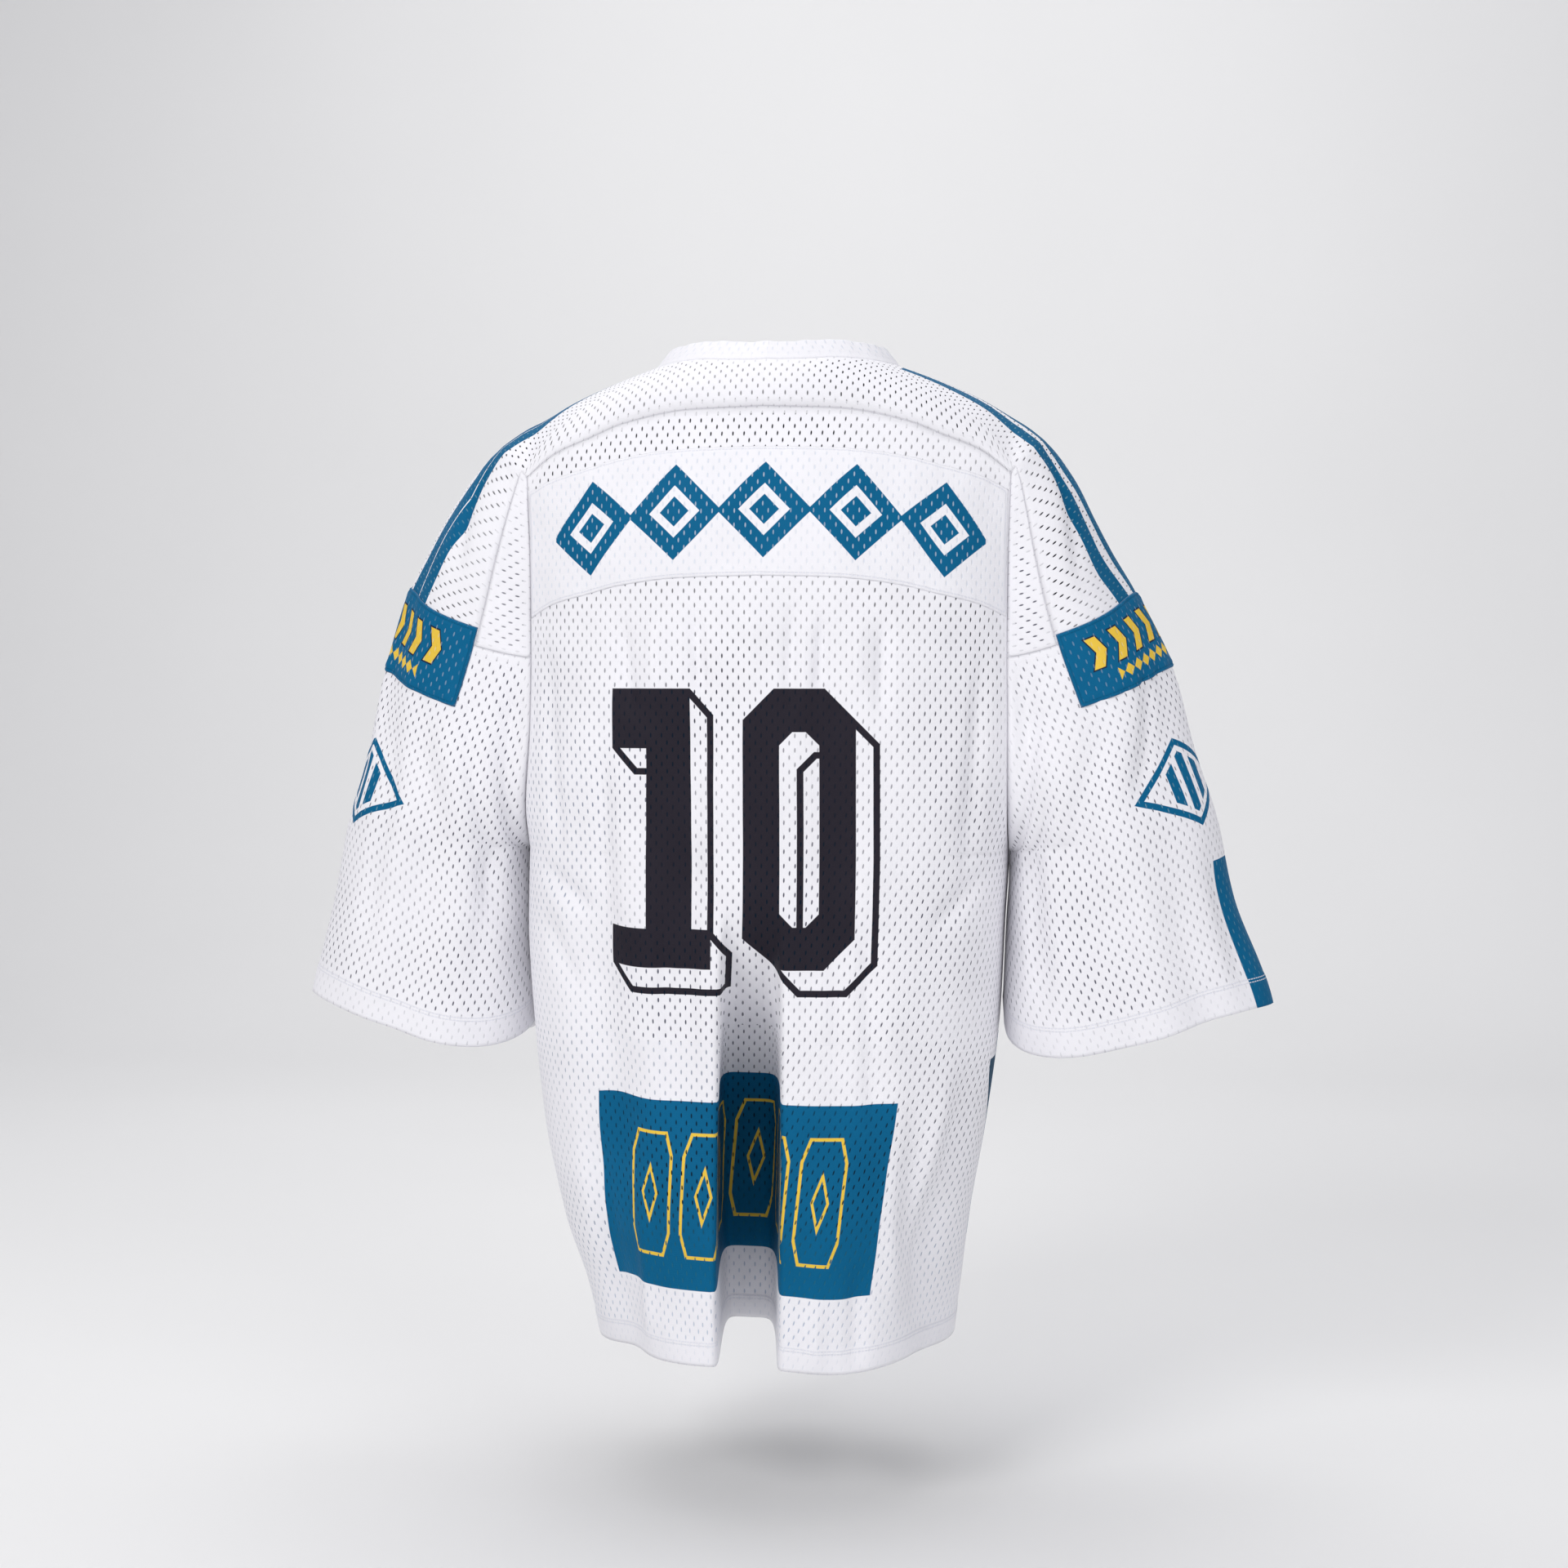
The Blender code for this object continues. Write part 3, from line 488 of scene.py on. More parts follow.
def neck_side(side, line):
    """Plan of the yoke column beside the neck, by line from the back seam to the front seam."""
    back, front = neck_point(side * math.pi / 4), neck_point(side * math.pi * 3 / 4)
    column = HALF_COLUMNS - side * NECK_COLUMNS
    if line <= SKIRT:
        return TOP[1][column][:2] + (back - TOP[1][column][:2]) * line / SKIRT
    if line >= SKIRT + SADDLE:
        return TOP[-1][column][:2] + (front - TOP[-1][column][:2]) * (AROUND - line) / SKIRT
    return neck_point(side * math.pi * (1 / 4 + (line - SKIRT) / SADDLE / 2))


def yoke_point(column, line, corners):
    """A point of the yoke between the armholes. Column 0 is at the wearer's left, line 0 at the back seam."""
    if line in (0, AROUND):
        return TOP[1 if line == 0 else -1][column]
    out = HALF_COLUMNS - column
    side = 1 if out > 0 else -1
    if abs(out) < NECK_COLUMNS:
        face = 1 if line < AROUND / 2 else -1
        angle = math.pi / 4 * out / NECK_COLUMNS
        rim = neck_point(angle if face > 0 else math.pi - angle)
        lines = line if face > 0 else AROUND - line
        seam = TOP[face][column][:2]
        x, y = seam + (rim - seam) * min(lines / SKIRT, 1)
        return x, y, yoke_height(x, y)
    share = (abs(out) - NECK_COLUMNS) / SIDE_COLUMNS
    corner = corners[side][line]
    if share == 1:
        return corner
    near = neck_side(side, line)
    plan = near + (corner[:2] - near) * share
    for face, first in ((1, 0), (-1, AROUND)):
        if abs(line - first) < SKIRT:
            edge = neck_side(side, first)
            reach = corners[side][first][:2]
            stray = TOP[face][column][:2] - edge - (reach - edge) * share
            plan = plan + stray * (1 - abs(line - first) / SKIRT)
    x, y = plan
    lift = corner[2] - yoke_height(*corner[:2])
    return x, y, yoke_height(x, y) + lift * share ** 3


# ---- from points to cloth

def edge_distances(points):
    """How far each point of a grid is from its first line, last line, first column and last column."""
    down = np.linalg.norm(np.diff(points, axis=0), axis=2)
    across = np.linalg.norm(np.diff(points, axis=1), axis=2)
    top = np.concatenate([np.zeros((1, points.shape[1])), np.cumsum(down, axis=0)])
    left = np.concatenate([np.zeros((points.shape[0], 1)), np.cumsum(across, axis=1)], axis=1)
    return top, top[-1] - top, left, left[:, -1:] - left


def nearest(*distances):
    return np.minimum.reduce(distances)


def raised(points, outward, height):
    """The grid moved out along its normals by a height that may differ from point to point."""
    normal = np.cross(np.gradient(points, axis=1), np.gradient(points, axis=0))
    normal /= np.maximum(np.linalg.norm(normal, axis=2, keepdims=True), 1e-12)
    if (normal * outward).sum() < 0:
        normal = -normal
    return points + normal * np.asarray(height)[..., None]


def turned_up(points, from_axis, foot, hem):
    """The grid with its hem, which is folded up inside, standing out a little."""
    step = 0.0015
    return raised(points, from_axis * (1, 1, 0), 0.0006 * ease(foot, hem + step, hem - step))


def at_corners(values):
    """The values at the four corners of each cell of a grid."""
    lines, columns = values.shape[0] - 1, values.shape[1] - 1
    return np.stack([values[i:lines + i, j:columns + j] for i in (0, 1) for j in (0, 1)], axis=2)


def maps_of(cloth, seam, edge, printed=None):
    """What the finishes read: the cloth's own place, how far seams and the hem are, and the print's place."""
    trim = np.stack([np.broadcast_to(one, cloth.shape[:2]) for one in (seam, edge)], axis=2)
    return {"cloth": cloth, "trim": trim, "print": cloth if printed is None else printed}


def delete_cells(mesh, deleted):
    bpy.context.tool_settings.mesh_select_mode = (False, False, True)
    mesh.vertices.foreach_set("select", np.zeros(len(mesh.vertices), bool))
    mesh.edges.foreach_set("select", np.zeros(len(mesh.edges), bool))
    mesh.polygons.foreach_set("select", deleted)
    bpy.ops.object.mode_set(mode="EDIT")
    bpy.ops.mesh.delete(type="FACE")
    bpy.ops.object.mode_set(mode="OBJECT")


def sheet_of_cloth(name, points, outward, maps, keep=None, thickness=None):
    """A thin sheet from a grid primitive: points and maps are by line and column, keep says which cells stay.

    maps holds, for each map's name, its values by line and column, or by line, column and corner of a cell.
    """
    lines, columns = points.shape[0] - 1, points.shape[1] - 1
    bpy.ops.object.select_all(action="DESELECT")
    bpy.ops.mesh.primitive_grid_add(x_subdivisions=columns, y_subdivisions=lines, size=2)
    piece = bpy.context.active_object
    piece.name = piece.data.name = name
    mesh = piece.data
    place = np.empty(len(mesh.vertices) * 3)
    mesh.vertices.foreach_get("co", place)
    place = place.reshape(-1, 3)
    column = np.rint((place[:, 0] + 1) / 2 * columns).astype(int)
    line = np.rint((place[:, 1] + 1) / 2 * lines).astype(int)
    mesh.vertices.foreach_set("co", points[line, column].ravel())
    corners = np.empty(len(mesh.loops), int)
    mesh.loops.foreach_get("vertex_index", corners)
    line, column = line[corners].reshape(-1, 4), column[corners].reshape(-1, 4)
    cell = line.min(axis=1)[:, None], column.min(axis=1)[:, None]
    while mesh.uv_layers:
        mesh.uv_layers.remove(mesh.uv_layers[0])
    for title, values in maps.items():
        if values.ndim == 4:
            picked = values[cell[0], cell[1], (line - cell[0]) * 2 + column - cell[1]]
        else:
            picked = values[line, column]
        mesh.uv_layers.new(name=title).data.foreach_set("uv", picked.ravel())
    if keep is not None:
        delete_cells(mesh, ~keep[cell].ravel())
    bpy.ops.object.mode_set(mode="EDIT")
    bpy.ops.mesh.select_all(action="SELECT")
    bpy.ops.mesh.remove_doubles(threshold=1e-6)
    bpy.ops.object.mode_set(mode="OBJECT")
    facing = sum(face.normal.dot(Vector(outward(face.center))) * face.area for face in mesh.polygons)
    if facing < 0:
        mesh.flip_normals()
    if thickness:
        solid = piece.modifiers.new("cloth", "SOLIDIFY")
        solid.thickness = thickness
        solid.offset = -1
        solid.material_offset = 1
        solid.material_offset_rim = 0
        bpy.ops.object.modifier_apply(modifier=solid.name)
    bpy.ops.object.shade_smooth()
    return piece


def area_of(points, keep=None):
    one = np.cross(points[1:, :-1] - points[:-1, :-1], points[:-1, 1:] - points[:-1, :-1])
    two = np.cross(points[:-1, 1:] - points[1:, 1:], points[1:, :-1] - points[1:, 1:])
    cells = (np.linalg.norm(one, axis=2) + np.linalg.norm(two, axis=2)) / 2
    return float((cells if keep is None else cells * keep).sum())


def from_middle(centre):
    return (centre.x, centre.y, 0)


# ---- the arithmetic of finishes

def operation(kind, turned=False):
    """A method that adds a Math node on a value and any others, in their order or turned round."""
    def method(self, *others):
        return self.shading.math(kind, *(others + (self,) if turned else (self,) + others))
    return method


class Value:
    """A node's output, used in sums like a number: each step adds a Math node to its tree."""

    def __init__(self, shading, socket):
        self.shading, self.socket = shading, socket

    __add__ = __radd__ = operation("ADD")
    __sub__ = operation("SUBTRACT")
    __rsub__ = operation("SUBTRACT", turned=True)
    __mul__ = __rmul__ = operation("MULTIPLY")
    __truediv__ = operation("DIVIDE")
    __rtruediv__ = operation("DIVIDE", turned=True)
    __abs__ = operation("ABSOLUTE")
    fraction, sine, root = operation("FRACT"), operation("SINE"), operation("SQRT")
    larger, smaller = operation("MAXIMUM"), operation("MINIMUM")

    def __neg__(self):
        return self * -1.0

    def ramp(self, low, high, at_low=0.0, at_high=1.0):
        """This value eased from at_low at low to at_high at high."""
        values = {"Value": self, "From Min": low, "From Max": high, "To Min": at_low, "To Max": at_high}
        return self.shading.first("ShaderNodeMapRange", values, interpolation_type="SMOOTHSTEP")


class Shading:
    """Adds nodes to a tree and joins them up. A value may be a number, a colour or another node's output."""

    def __init__(self, tree):
        self.tree = tree

    def give(self, socket, value):
        value = getattr(value, "socket", value)
        if isinstance(value, bpy.types.NodeSocket):
            self.tree.links.new(value, socket)
        else:
            socket.default_value = (*value, 1) if socket.type == "RGBA" else value

    def add(self, kind, values=(), **settings):
        node = self.tree.nodes.new(kind)
        for name, value in settings.items():
            setattr(node, name, value)
        for name, value in dict(values).items():
            self.give(node.inputs[name], value)
        return node

    def first(self, kind, values=(), **settings):
        """The first output of a new node."""
        return Value(self, self.add(kind, values, **settings).outputs[0])

    def math(self, kind, *values):
        return self.first("ShaderNodeMath", dict(enumerate(values)), operation=kind)

    def noise(self, vector, scale, detail):
        return self.first("ShaderNodeTexNoise", {"Vector": vector, "Scale": scale, "Detail": detail})

    def mix(self, share, first, second):
        node = self.add("ShaderNodeMix", data_type="RGBA")
        for name, value in (("Factor_Float", share), ("A_Color", first), ("B_Color", second)):
            self.give(next(socket for socket in node.inputs if socket.identifier == name), value)
        return Value(self, next(socket for socket in node.outputs if socket.identifier == "Result_Color"))

    def split(self, vector):
        outputs = self.add("ShaderNodeSeparateXYZ", {0: vector}).outputs
        return Value(self, outputs[0]), Value(self, outputs[1])

    def map(self, name):
        return self.first("ShaderNodeUVMap", uv_map=name)

    def place(self, name):
        """Both parts of the place on a piece's map."""
        return self.split(self.map(name))

    def group(self, name, build, **values):
        """The outputs of a node group placed with these values. It is built when it is first placed."""
        titles = {key: key.replace("_", " ").title() for key in values}
        if name not in bpy.data.node_groups:
            tree = bpy.data.node_groups.new(name, "ShaderNodeTree")
            for key, title in titles.items():
                kind = "NodeSocketVector" if key == "cloth" else "NodeSocketFloat"
                tree.interface.new_socket(title, in_out="INPUT", socket_type=kind)
            s = Shading(tree)
            inputs = s.add("NodeGroupInput").outputs
            results = build(s, {title: Value(s, inputs[title]) for title in titles.values()})
            for title in results:
                tree.interface.new_socket(title, in_out="OUTPUT", socket_type="NodeSocketFloat")
            s.add("NodeGroupOutput", results)
        node = self.add("ShaderNodeGroup", node_tree=bpy.data.node_groups[name])
        for key, title in titles.items():
            self.give(node.inputs[title], values[key])
        return {socket.name: Value(self, socket) for socket in node.outputs}


def new_finish(name):
    """A new material and its tree."""
    material = bpy.data.materials.new(name)
    material.use_nodes = True
    return material, Shading(material.node_tree)


def surface(s, values):
    for name, value in values.items():
        s.give(s.tree.nodes["Principled BSDF"].inputs[name], value)


def most(first, *others):
    for other in others:
        first = first.larger(other)
    return first


def least(first, *others):
    for other in others:
        first = first.smaller(other)
    return first


def box(x, y, middle_x, middle_y, half_width, half_height):
    """The distance outside an upright box, negative inside."""
    return most(abs(x - middle_x) - half_width, abs(y - middle_y) - half_height)


def lozenge(x, y, half_width, half_height):
    """The rough distance outside a lozenge round the middle, negative inside."""
    narrow = half_width * half_height / math.hypot(half_width, half_height)
    return (abs(x) / half_width + abs(y) / half_height - 1.0) * narrow


def filled(distance):
    return distance.ramp(-PRINT_EDGE, PRINT_EDGE, 1.0, 0.0)


def outline(distance, width):
    """1 on a line of this width just inside the shape."""
    return filled(distance) - filled(distance + width)


def repeated(value, pitch):
    """The place within a repeated step, from its middle."""
    return ((value / pitch + 100.5).fraction() - 0.5) * pitch


# ---- the knit and its stitches

def mesh_slots(s, given):
    """Rows of small upright slots, every other row moved half a step."""
    x, y = s.split(given["Cloth"])
    across, rows = given["Across"], given["Row"] * 2.0
    away = []
    for shift in (100.0, 100.5):
        up = ((y / rows + shift).fraction() - 0.5) * rows
        beside = ((x / across + shift).fraction() - 0.5) * across - up * given["Lean"]
        wide, tall = beside / (given["Slot Width"] * 0.5), up / (given["Slot Length"] * 0.5)
        away.append((wide * wide + tall * tall).root())
    away = least(*away)
    return {"Slots": away.ramp(0.8, 1.25, 1.0, 0.0), "Dip": away.ramp(0.6, 2.0, 1.0, 0.0)}


def knit_grain(s, given):
    """The fine ribs of the knit and a slow unevenness in its colour."""
    x, y = s.split(given["Cloth"])
    turn = 2 * math.pi / given["Rib"]
    ribs, courses = (x * turn).sine(), (y * (turn * 0.7)).sine()
    fuzz = s.noise(given["Cloth"], 900.0, 2.0)
    return {"Height": (ribs + courses) * 0.25 + fuzz * 0.8, "Uneven": s.noise(given["Cloth"], 14.0, 3.0)}


def stitch_row(s, given):
    """One row of stitches at a distance from an edge."""
    thread = given["Thread"]
    line = abs(given["From Edge"] - given["Place"]).ramp(thread * 0.4, thread * 0.7, 1.0, 0.0)
    step = (given["Along"] / given["Stitch"] + 500.0).fraction()
    return {"Stitches": line * abs(step - 0.5).ramp(0.34, 0.42, 1.0, 0.0)}


# ---- the prints

def drawn_box(x, y, middle_x, middle_y, half_width, half_height):
    """The distance outside a box drawn out to the lower right by the number's drop."""
    out, down = NUMBER_DROP
    around = box(x, y, middle_x + out / 2, middle_y - down / 2, half_width + out / 2, half_height + down / 2)
    length = math.hypot(out, down)
    slope = (x - middle_x) * (down / length) + (y - middle_y) * (out / length)
    return most(around, abs(slope) - (half_width * down + half_height * out) / length)


def number_print(s):
    """A plain block 10: near-black figures with an open side drawn out to the lower right."""
    x, y = s.place("print")
    x = -x  # to the right as seen from behind
    middle, tall = -0.396, 0.117
    bars = [
        (-0.0746, middle, 0.019, tall),
        (-0.0838, middle - tall + 0.0165, 0.0457, 0.0165),
        (-0.104, middle + tall - 0.025, 0.02, 0.025),
    ]
    one, drawn_one = (least(*(shape(x, y, *bar) for bar in bars)) for shape in (box, drawn_box))

    out, down = NUMBER_DROP
    zero_x, wide, corner = 0.0363, 0.0471, 0.026
    diagonal = 0.707

    def ring(move_x, move_y, half_width, half_height, cut):
        """A box round the zero's middle with its corners cut off."""
        at_x, at_y = zero_x + move_x, middle - move_y
        slant = abs(x - at_x) + abs(y - at_y) - (half_width + half_height - cut)
        return most(box(x, y, at_x, at_y, half_width, half_height), slant * diagonal)

    opening = 0.0165, tall - 0.036, 0.011
    hole = ring(0.0, 0.0, *opening)
    zero = most(ring(0.0, 0.0, wide, tall, corner), -hole)
    ends = wide + tall - corner
    rising = (x - zero_x) + (y - middle)
    falling = (x - zero_x) - (y - middle)
    slants = most(rising - ends, -rising - (ends + down - out))
    slants = most(slants, falling - (ends + out + down), -falling - ends)
    drawn_zero = most(drawn_box(x, y, zero_x, middle, wide, tall), slants * diagonal)
    drawn_zero = most(drawn_zero, -most(hole, ring(out, down, *opening)))
    return most(filled(least(one, zero)), outline(least(drawn_one, drawn_zero), 0.0056))


def block_print(s):
    """A wide block with a row of tall outlined lozenges: where the block is, and where its lines are."""
    x, y = s.place("print")
    x = x - ((-0.624 - y) * 0.0955 + 0.0122)
    y = y + 0.703
    step = repeated(x + 0.026, 0.052)
    shape = most(lozenge(step, y, 0.032, 0.1), abs(y) - 0.053, abs(step) - 0.0215)
    lines = most(outline(shape, 0.0028), outline(lozenge(step, y, 0.0085, 0.026), 0.0024))
    within = filled(box(x, y, 0.0, 0.0, 0.208, 0.07))
    return filled(box(x, y, 0.0, 0.0, 0.242, 0.079)), lines * within


def shaded_side_wedge(s):
    """A wedge on the back panel beside the side seam, painted where the front panel's side block shows behind
    it in shade.
    """
    x, y = s.place("print")
    return filled(most(x + 0.3925 - y.ramp(-0.676, -0.598, 0.0, 0.04), abs(y + 0.636) - 0.037))


def side_block(s):
    """A plain block low on the front, beside the seam at the wearer's right."""
    return filled(box(*s.place("print"), -0.24, -0.67, 0.066, 0.09))


def plate_print(s):
    """A row of five broad lozenges with solid hearts."""
    x, y = s.place("print")
    x = x + 0.006
    step = repeated(x, 0.076)
    ring = outline(lozenge(step, y, 0.04, 0.04), 0.013)
    heart = filled(lozenge(step, y, 0.0125, 0.0125))
    return most(ring, heart) * filled(box(x, y, 0.0, 0.0, 0.19, 0.05))


def patch_print(s):
    """A row of chevrons over a row of small lozenges: where they are with their dark edge, and without it."""
    x, y = s.place("print")
    up = y - 0.0065
    bend = repeated(x, 0.024) + abs(up) * 0.5 - 0.0035
    shape = most(abs(bend) - 0.005, abs(up) - 0.013)
    within = filled(abs(x) - 0.108)
    small = lozenge(repeated(x, 0.012), y + 0.0165, 0.0056, 0.0052)
    fill = most(filled(shape) * within, filled(small) * filled(abs(x) - 0.084))
    return most(fill, filled(shape - 0.0013) * within), fill


def sleeve_print(s):
    """A wide lozenge ring round three upright bars, on the outer sleeve."""
    x, y = s.place("print")
    shape = lozenge(x, y, 0.062, 0.04)
    bars = most(abs(repeated(x, 0.017)) - 0.0052, shape + 0.0105, abs(x) - 0.0255)
    return most(outline(shape, 0.0056), filled(bars))


def cuff_stripe(s):
    """A broad stripe down the outer side of the wearer's right sleeve, to the cuff."""
    return filled(box(*s.place("cloth"), -0.008, -0.336, 0.03, 0.105))


def shoulder_stripes(s):
    """Two stripes along the shoulder and down the outer arm."""
    x, y = s.place("print")
    middles = (0.0, x.ramp(-0.01, 0.01, 0.03, 0.0205))
    stripes = most(*(filled(abs(y - middle) - 0.0095) for middle in middles))
    return stripes * abs(x).ramp(0.1125, 0.1135)


# ---- the finish of a piece

def back_lean(s):
    """How far the slots of the back lean, from its middle to the wearer's right."""
    across, up = s.place("cloth")
    return across.ramp(-0.13, 0.02, -0.3, 0.0) * up.ramp(-0.55, -0.25, 1.0, 0.4)


def scaled(shade, share):
    return tuple(channel * share for channel in shade)


def blended(first, second, share):
    return tuple(share * a + (1 - share) * b for a, b in zip(first, second))


def slot_light_and_shade(s, across, up, printed, dark, light_below):
    """Painted light and shade for what shows through the slots of a single layer: lighter below this row,
    where light comes in, and towards the wearer's left, and darkest near the neck.
    """
    tone = colours()
    # Without a row for the light, the slots are painted shade, with a paler teal of painted light on prints.
    if light_below is None:
        return s.mix(printed, dark, (0.12, 0.26, 0.36)) if printed else dark
    # Painted light low down and towards the wearer's left, painted shade near the neck.
    lit = most(up.ramp(light_below - 0.13, light_below + 0.1, 1.0, 0.0), across.ramp(0.06, 0.19, 0.0, 0.6))
    shown = s.mix(lit, dark, tone.low_slot_light)
    shown = s.mix(up.ramp(-0.4, -0.16), shown, tone.neck_slot_shade)
    # On prints, a teal of painted light low down and near-black painted shade above.
    on_print = s.mix(up.ramp(-0.76, -0.7), (0.012, 0.12, 0.21), (0.002, 0.01, 0.022))
    return s.mix(printed, shown, on_print)


def cloth_finish(name, prints=(), base=None, doubled=False, inside=False, hem=0.0, stitches=(),
                 light_below=None, lean=None, gap=None, thread=None):
    """Knitted mesh with its slots, seams and stitches, and painted light and shade in its slots and seam
    valleys.

    prints are (maker, colours): the maker returns one mask, or several, one for each colour. stitches are the
    distances of the rows of stitches from the hem.
    """
    if name in bpy.data.materials:
        return bpy.data.materials[name]
    material, s = new_finish(name)
    tone, size = colours(), sizes()
    cloth = s.map("cloth")
    (across, up), (seam, edge) = s.split(cloth), s.place("trim")
    slots = s.group("Mesh slots", mesh_slots, cloth=cloth, across=size.slot_spacing, row=size.slot_row,
                    slot_width=size.slot_width, slot_length=size.slot_length, lean=lean(s) if lean else 0.0)
    grain = s.group("Knit grain", knit_grain, cloth=cloth, rib=RIB)

    printed = threads = None
    white = base or tone.white
    uneven = grain["Uneven"].ramp(0.3, 0.7)
    colour = s.mix(uneven, white, scaled(white, 0.965))
    for maker, shades in prints:
        masks = maker(s)
        for mask, shade in zip(masks if isinstance(masks, tuple) else (masks,), shades):
            if inside:
                shade = blended(shade, white, 0.35)
            colour = s.mix(mask, colour, s.mix(uneven, shade, scaled(shade, 0.9)))
            printed = most(printed, mask) if printed else mask

    clear = seam.ramp(0.0055, 0.0085)
    if hem:
        clear = clear * edge.ramp(hem, hem + 0.003)
    through = clear.ramp(0.0, 1.0, 0.25, 1.0) * s.noise(cloth, 7.0, 1.0).ramp(0.32, 0.62, 0.55, 1.0)
    # The slots hold painted light and shade, not holes: a doubled piece shows its second layer in painted
    # shade, the inside a paler painted shade, and a single layer painted shade that grows lighter where light
    # comes in.
    dark = gap or tone.gap
    if doubled:
        shown = tone.second_layer_shade
        through = through * (0.3 if base else 0.6)
    elif inside:
        shown = blended(dark, tone.white, 0.5)
    else:
        shown = slot_light_and_shade(s, across, up, printed, dark, light_below)
    colour = s.mix(slots["Slots"] * through, colour, shown)

    # A thin line of painted shade along each seam's valley, together with the bump.
    valley = seam.ramp(0.0, 0.0011, 1.0, 0.0)
    colour = s.mix(valley * 0.14, colour, tone.seam)
    height = grain["Height"] * 0.1 - slots["Dip"] * clear.ramp(0.0, 1.0, 0.25, 0.55)
    height = height - valley * 0.35 + seam.ramp(0.006, 0.009, 0.3, 0.0)
    if hem:
        height = height + edge.ramp(hem - 0.0006, hem + 0.0006, 1.0, 0.0)
    for place in stitches:
        row = s.group("Stitch row", stitch_row, from_edge=edge, along=across, place=place, stitch=STITCH,
                      thread=THREAD)["Stitches"]
        threads = most(threads, row) if threads else row
    if threads:
        colour = s.mix(threads * 0.75, colour, thread or tone.thread)
        height = height - threads * 0.5
    surface(s, {
        "Base Color": colour,
        "Normal": s.first("ShaderNodeBump", {"Height": height, "Distance": 0.0007, "Strength": 0.7}),
        "Roughness": (uneven + slots["Slots"]) * 0.1 + 0.58,
        "Sheen Weight": 0.02,
        "Sheen Roughness": 0.4,
        "Specular IOR Level": 0.08,
    })
    return material


def sewn(node, points, outward, maps, thickness, flat, area, finish, keep=None, rests_on=(), **options):
    """Makes a piece of cloth with its finish on both sides, parents it to the root and hides the part of the
    same name.
    """
    piece = sheet_of_cloth(node, points, outward, maps, keep, thickness)
    outside = cloth_finish(finish, **options)
    inside = outside if options.get("doubled") else cloth_finish(f"{finish} inside", inside=True, **options)
    piece.data.materials.append(outside)
    piece.data.materials.append(inside)
    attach(piece, "root")
    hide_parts(node)


# ---- what a user may change

def a_length(name, description, default):
    return bpy.props.FloatProperty(name=name, description=description, default=default, unit="LENGTH")


def a_colour(name, description, default):
    return bpy.props.FloatVectorProperty(name=name, description=description, default=default, subtype="COLOR")


class JerseySizes(bpy.types.PropertyGroup):
    """Sizes of the cloth and its trimmings."""

    cloth: a_length("Cloth", "Thickness of one layer", 0.0008)
    slot_spacing: a_length("Slot spacing", "Between slots in a row", 0.0094)
    slot_row: a_length("Slot row", "Between rows of slots", 0.006)
    slot_width: a_length("Slot width", "Width of a slot", 0.0013)
    slot_length: a_length("Slot length", "Length of a slot", 0.0038)
    hem: a_length("Hem", "Turned-up hem of the body", 0.02)
    cuff: a_length("Cuff hem", "Turned-up hem of the sleeves", 0.026)


class JerseyColours(bpy.types.PropertyGroup):
    """Colours of the cloth and its prints, and the painted light and shade in its slots and seams."""

    white: a_colour("White", "Main cloth", (0.865, 0.86, 0.9))
    teal: a_colour("Teal", "Blocks, stripes and patches", (0.002, 0.12, 0.262))
    yellow: a_colour("Yellow", "Lines and chevrons", (0.86, 0.58, 0.07))
    black: a_colour("Black", "Number", (0.022, 0.019, 0.028))
    # Painted shade: the dark colour painted into the slots for the shaded inside seen through them.
    gap: a_colour("Slot", "What shows through a slot", (0.1, 0.1, 0.135))
    # Painted shade: darker still in the slots near the neck and all over the yoke.
    neck_slot_shade: a_colour("High slot", "What shows through a slot near the neck", (0.02, 0.02, 0.028))
    # Painted light: the paler colour in the slots low down, where more light comes in.
    low_slot_light: a_colour("Low slot", "What shows through a slot low down", (0.48, 0.54, 0.66))
    # The second layer's white cloth, with painted shade on it.
    second_layer_shade: a_colour("Doubled slot", "The second layer behind a slot", (0.6, 0.66, 0.76))
    seam: a_colour("Seam", "Shade in seams", (0.56, 0.57, 0.68))
    thread: a_colour("Thread", "Thread of hems and seams", (0.74, 0.75, 0.83))


def sizes():
    return bpy.context.scene.jersey_sizes


def colours():
    return bpy.context.scene.jersey_colours


# ---- the pieces

def body_panel(face, rows, columns):
    """The points of a panel, its hem turned up, its maps, its place in the fold's walls, and its plain x."""
    points, cloth, walls, plain_x = body_grid(face, rows, columns)
    top, foot, left, right = edge_distances(points)
    maps = maps_of(cloth, nearest(top, left, right), foot)
    return turned_up(points, points, foot, sizes().hem), maps, walls, plain_x


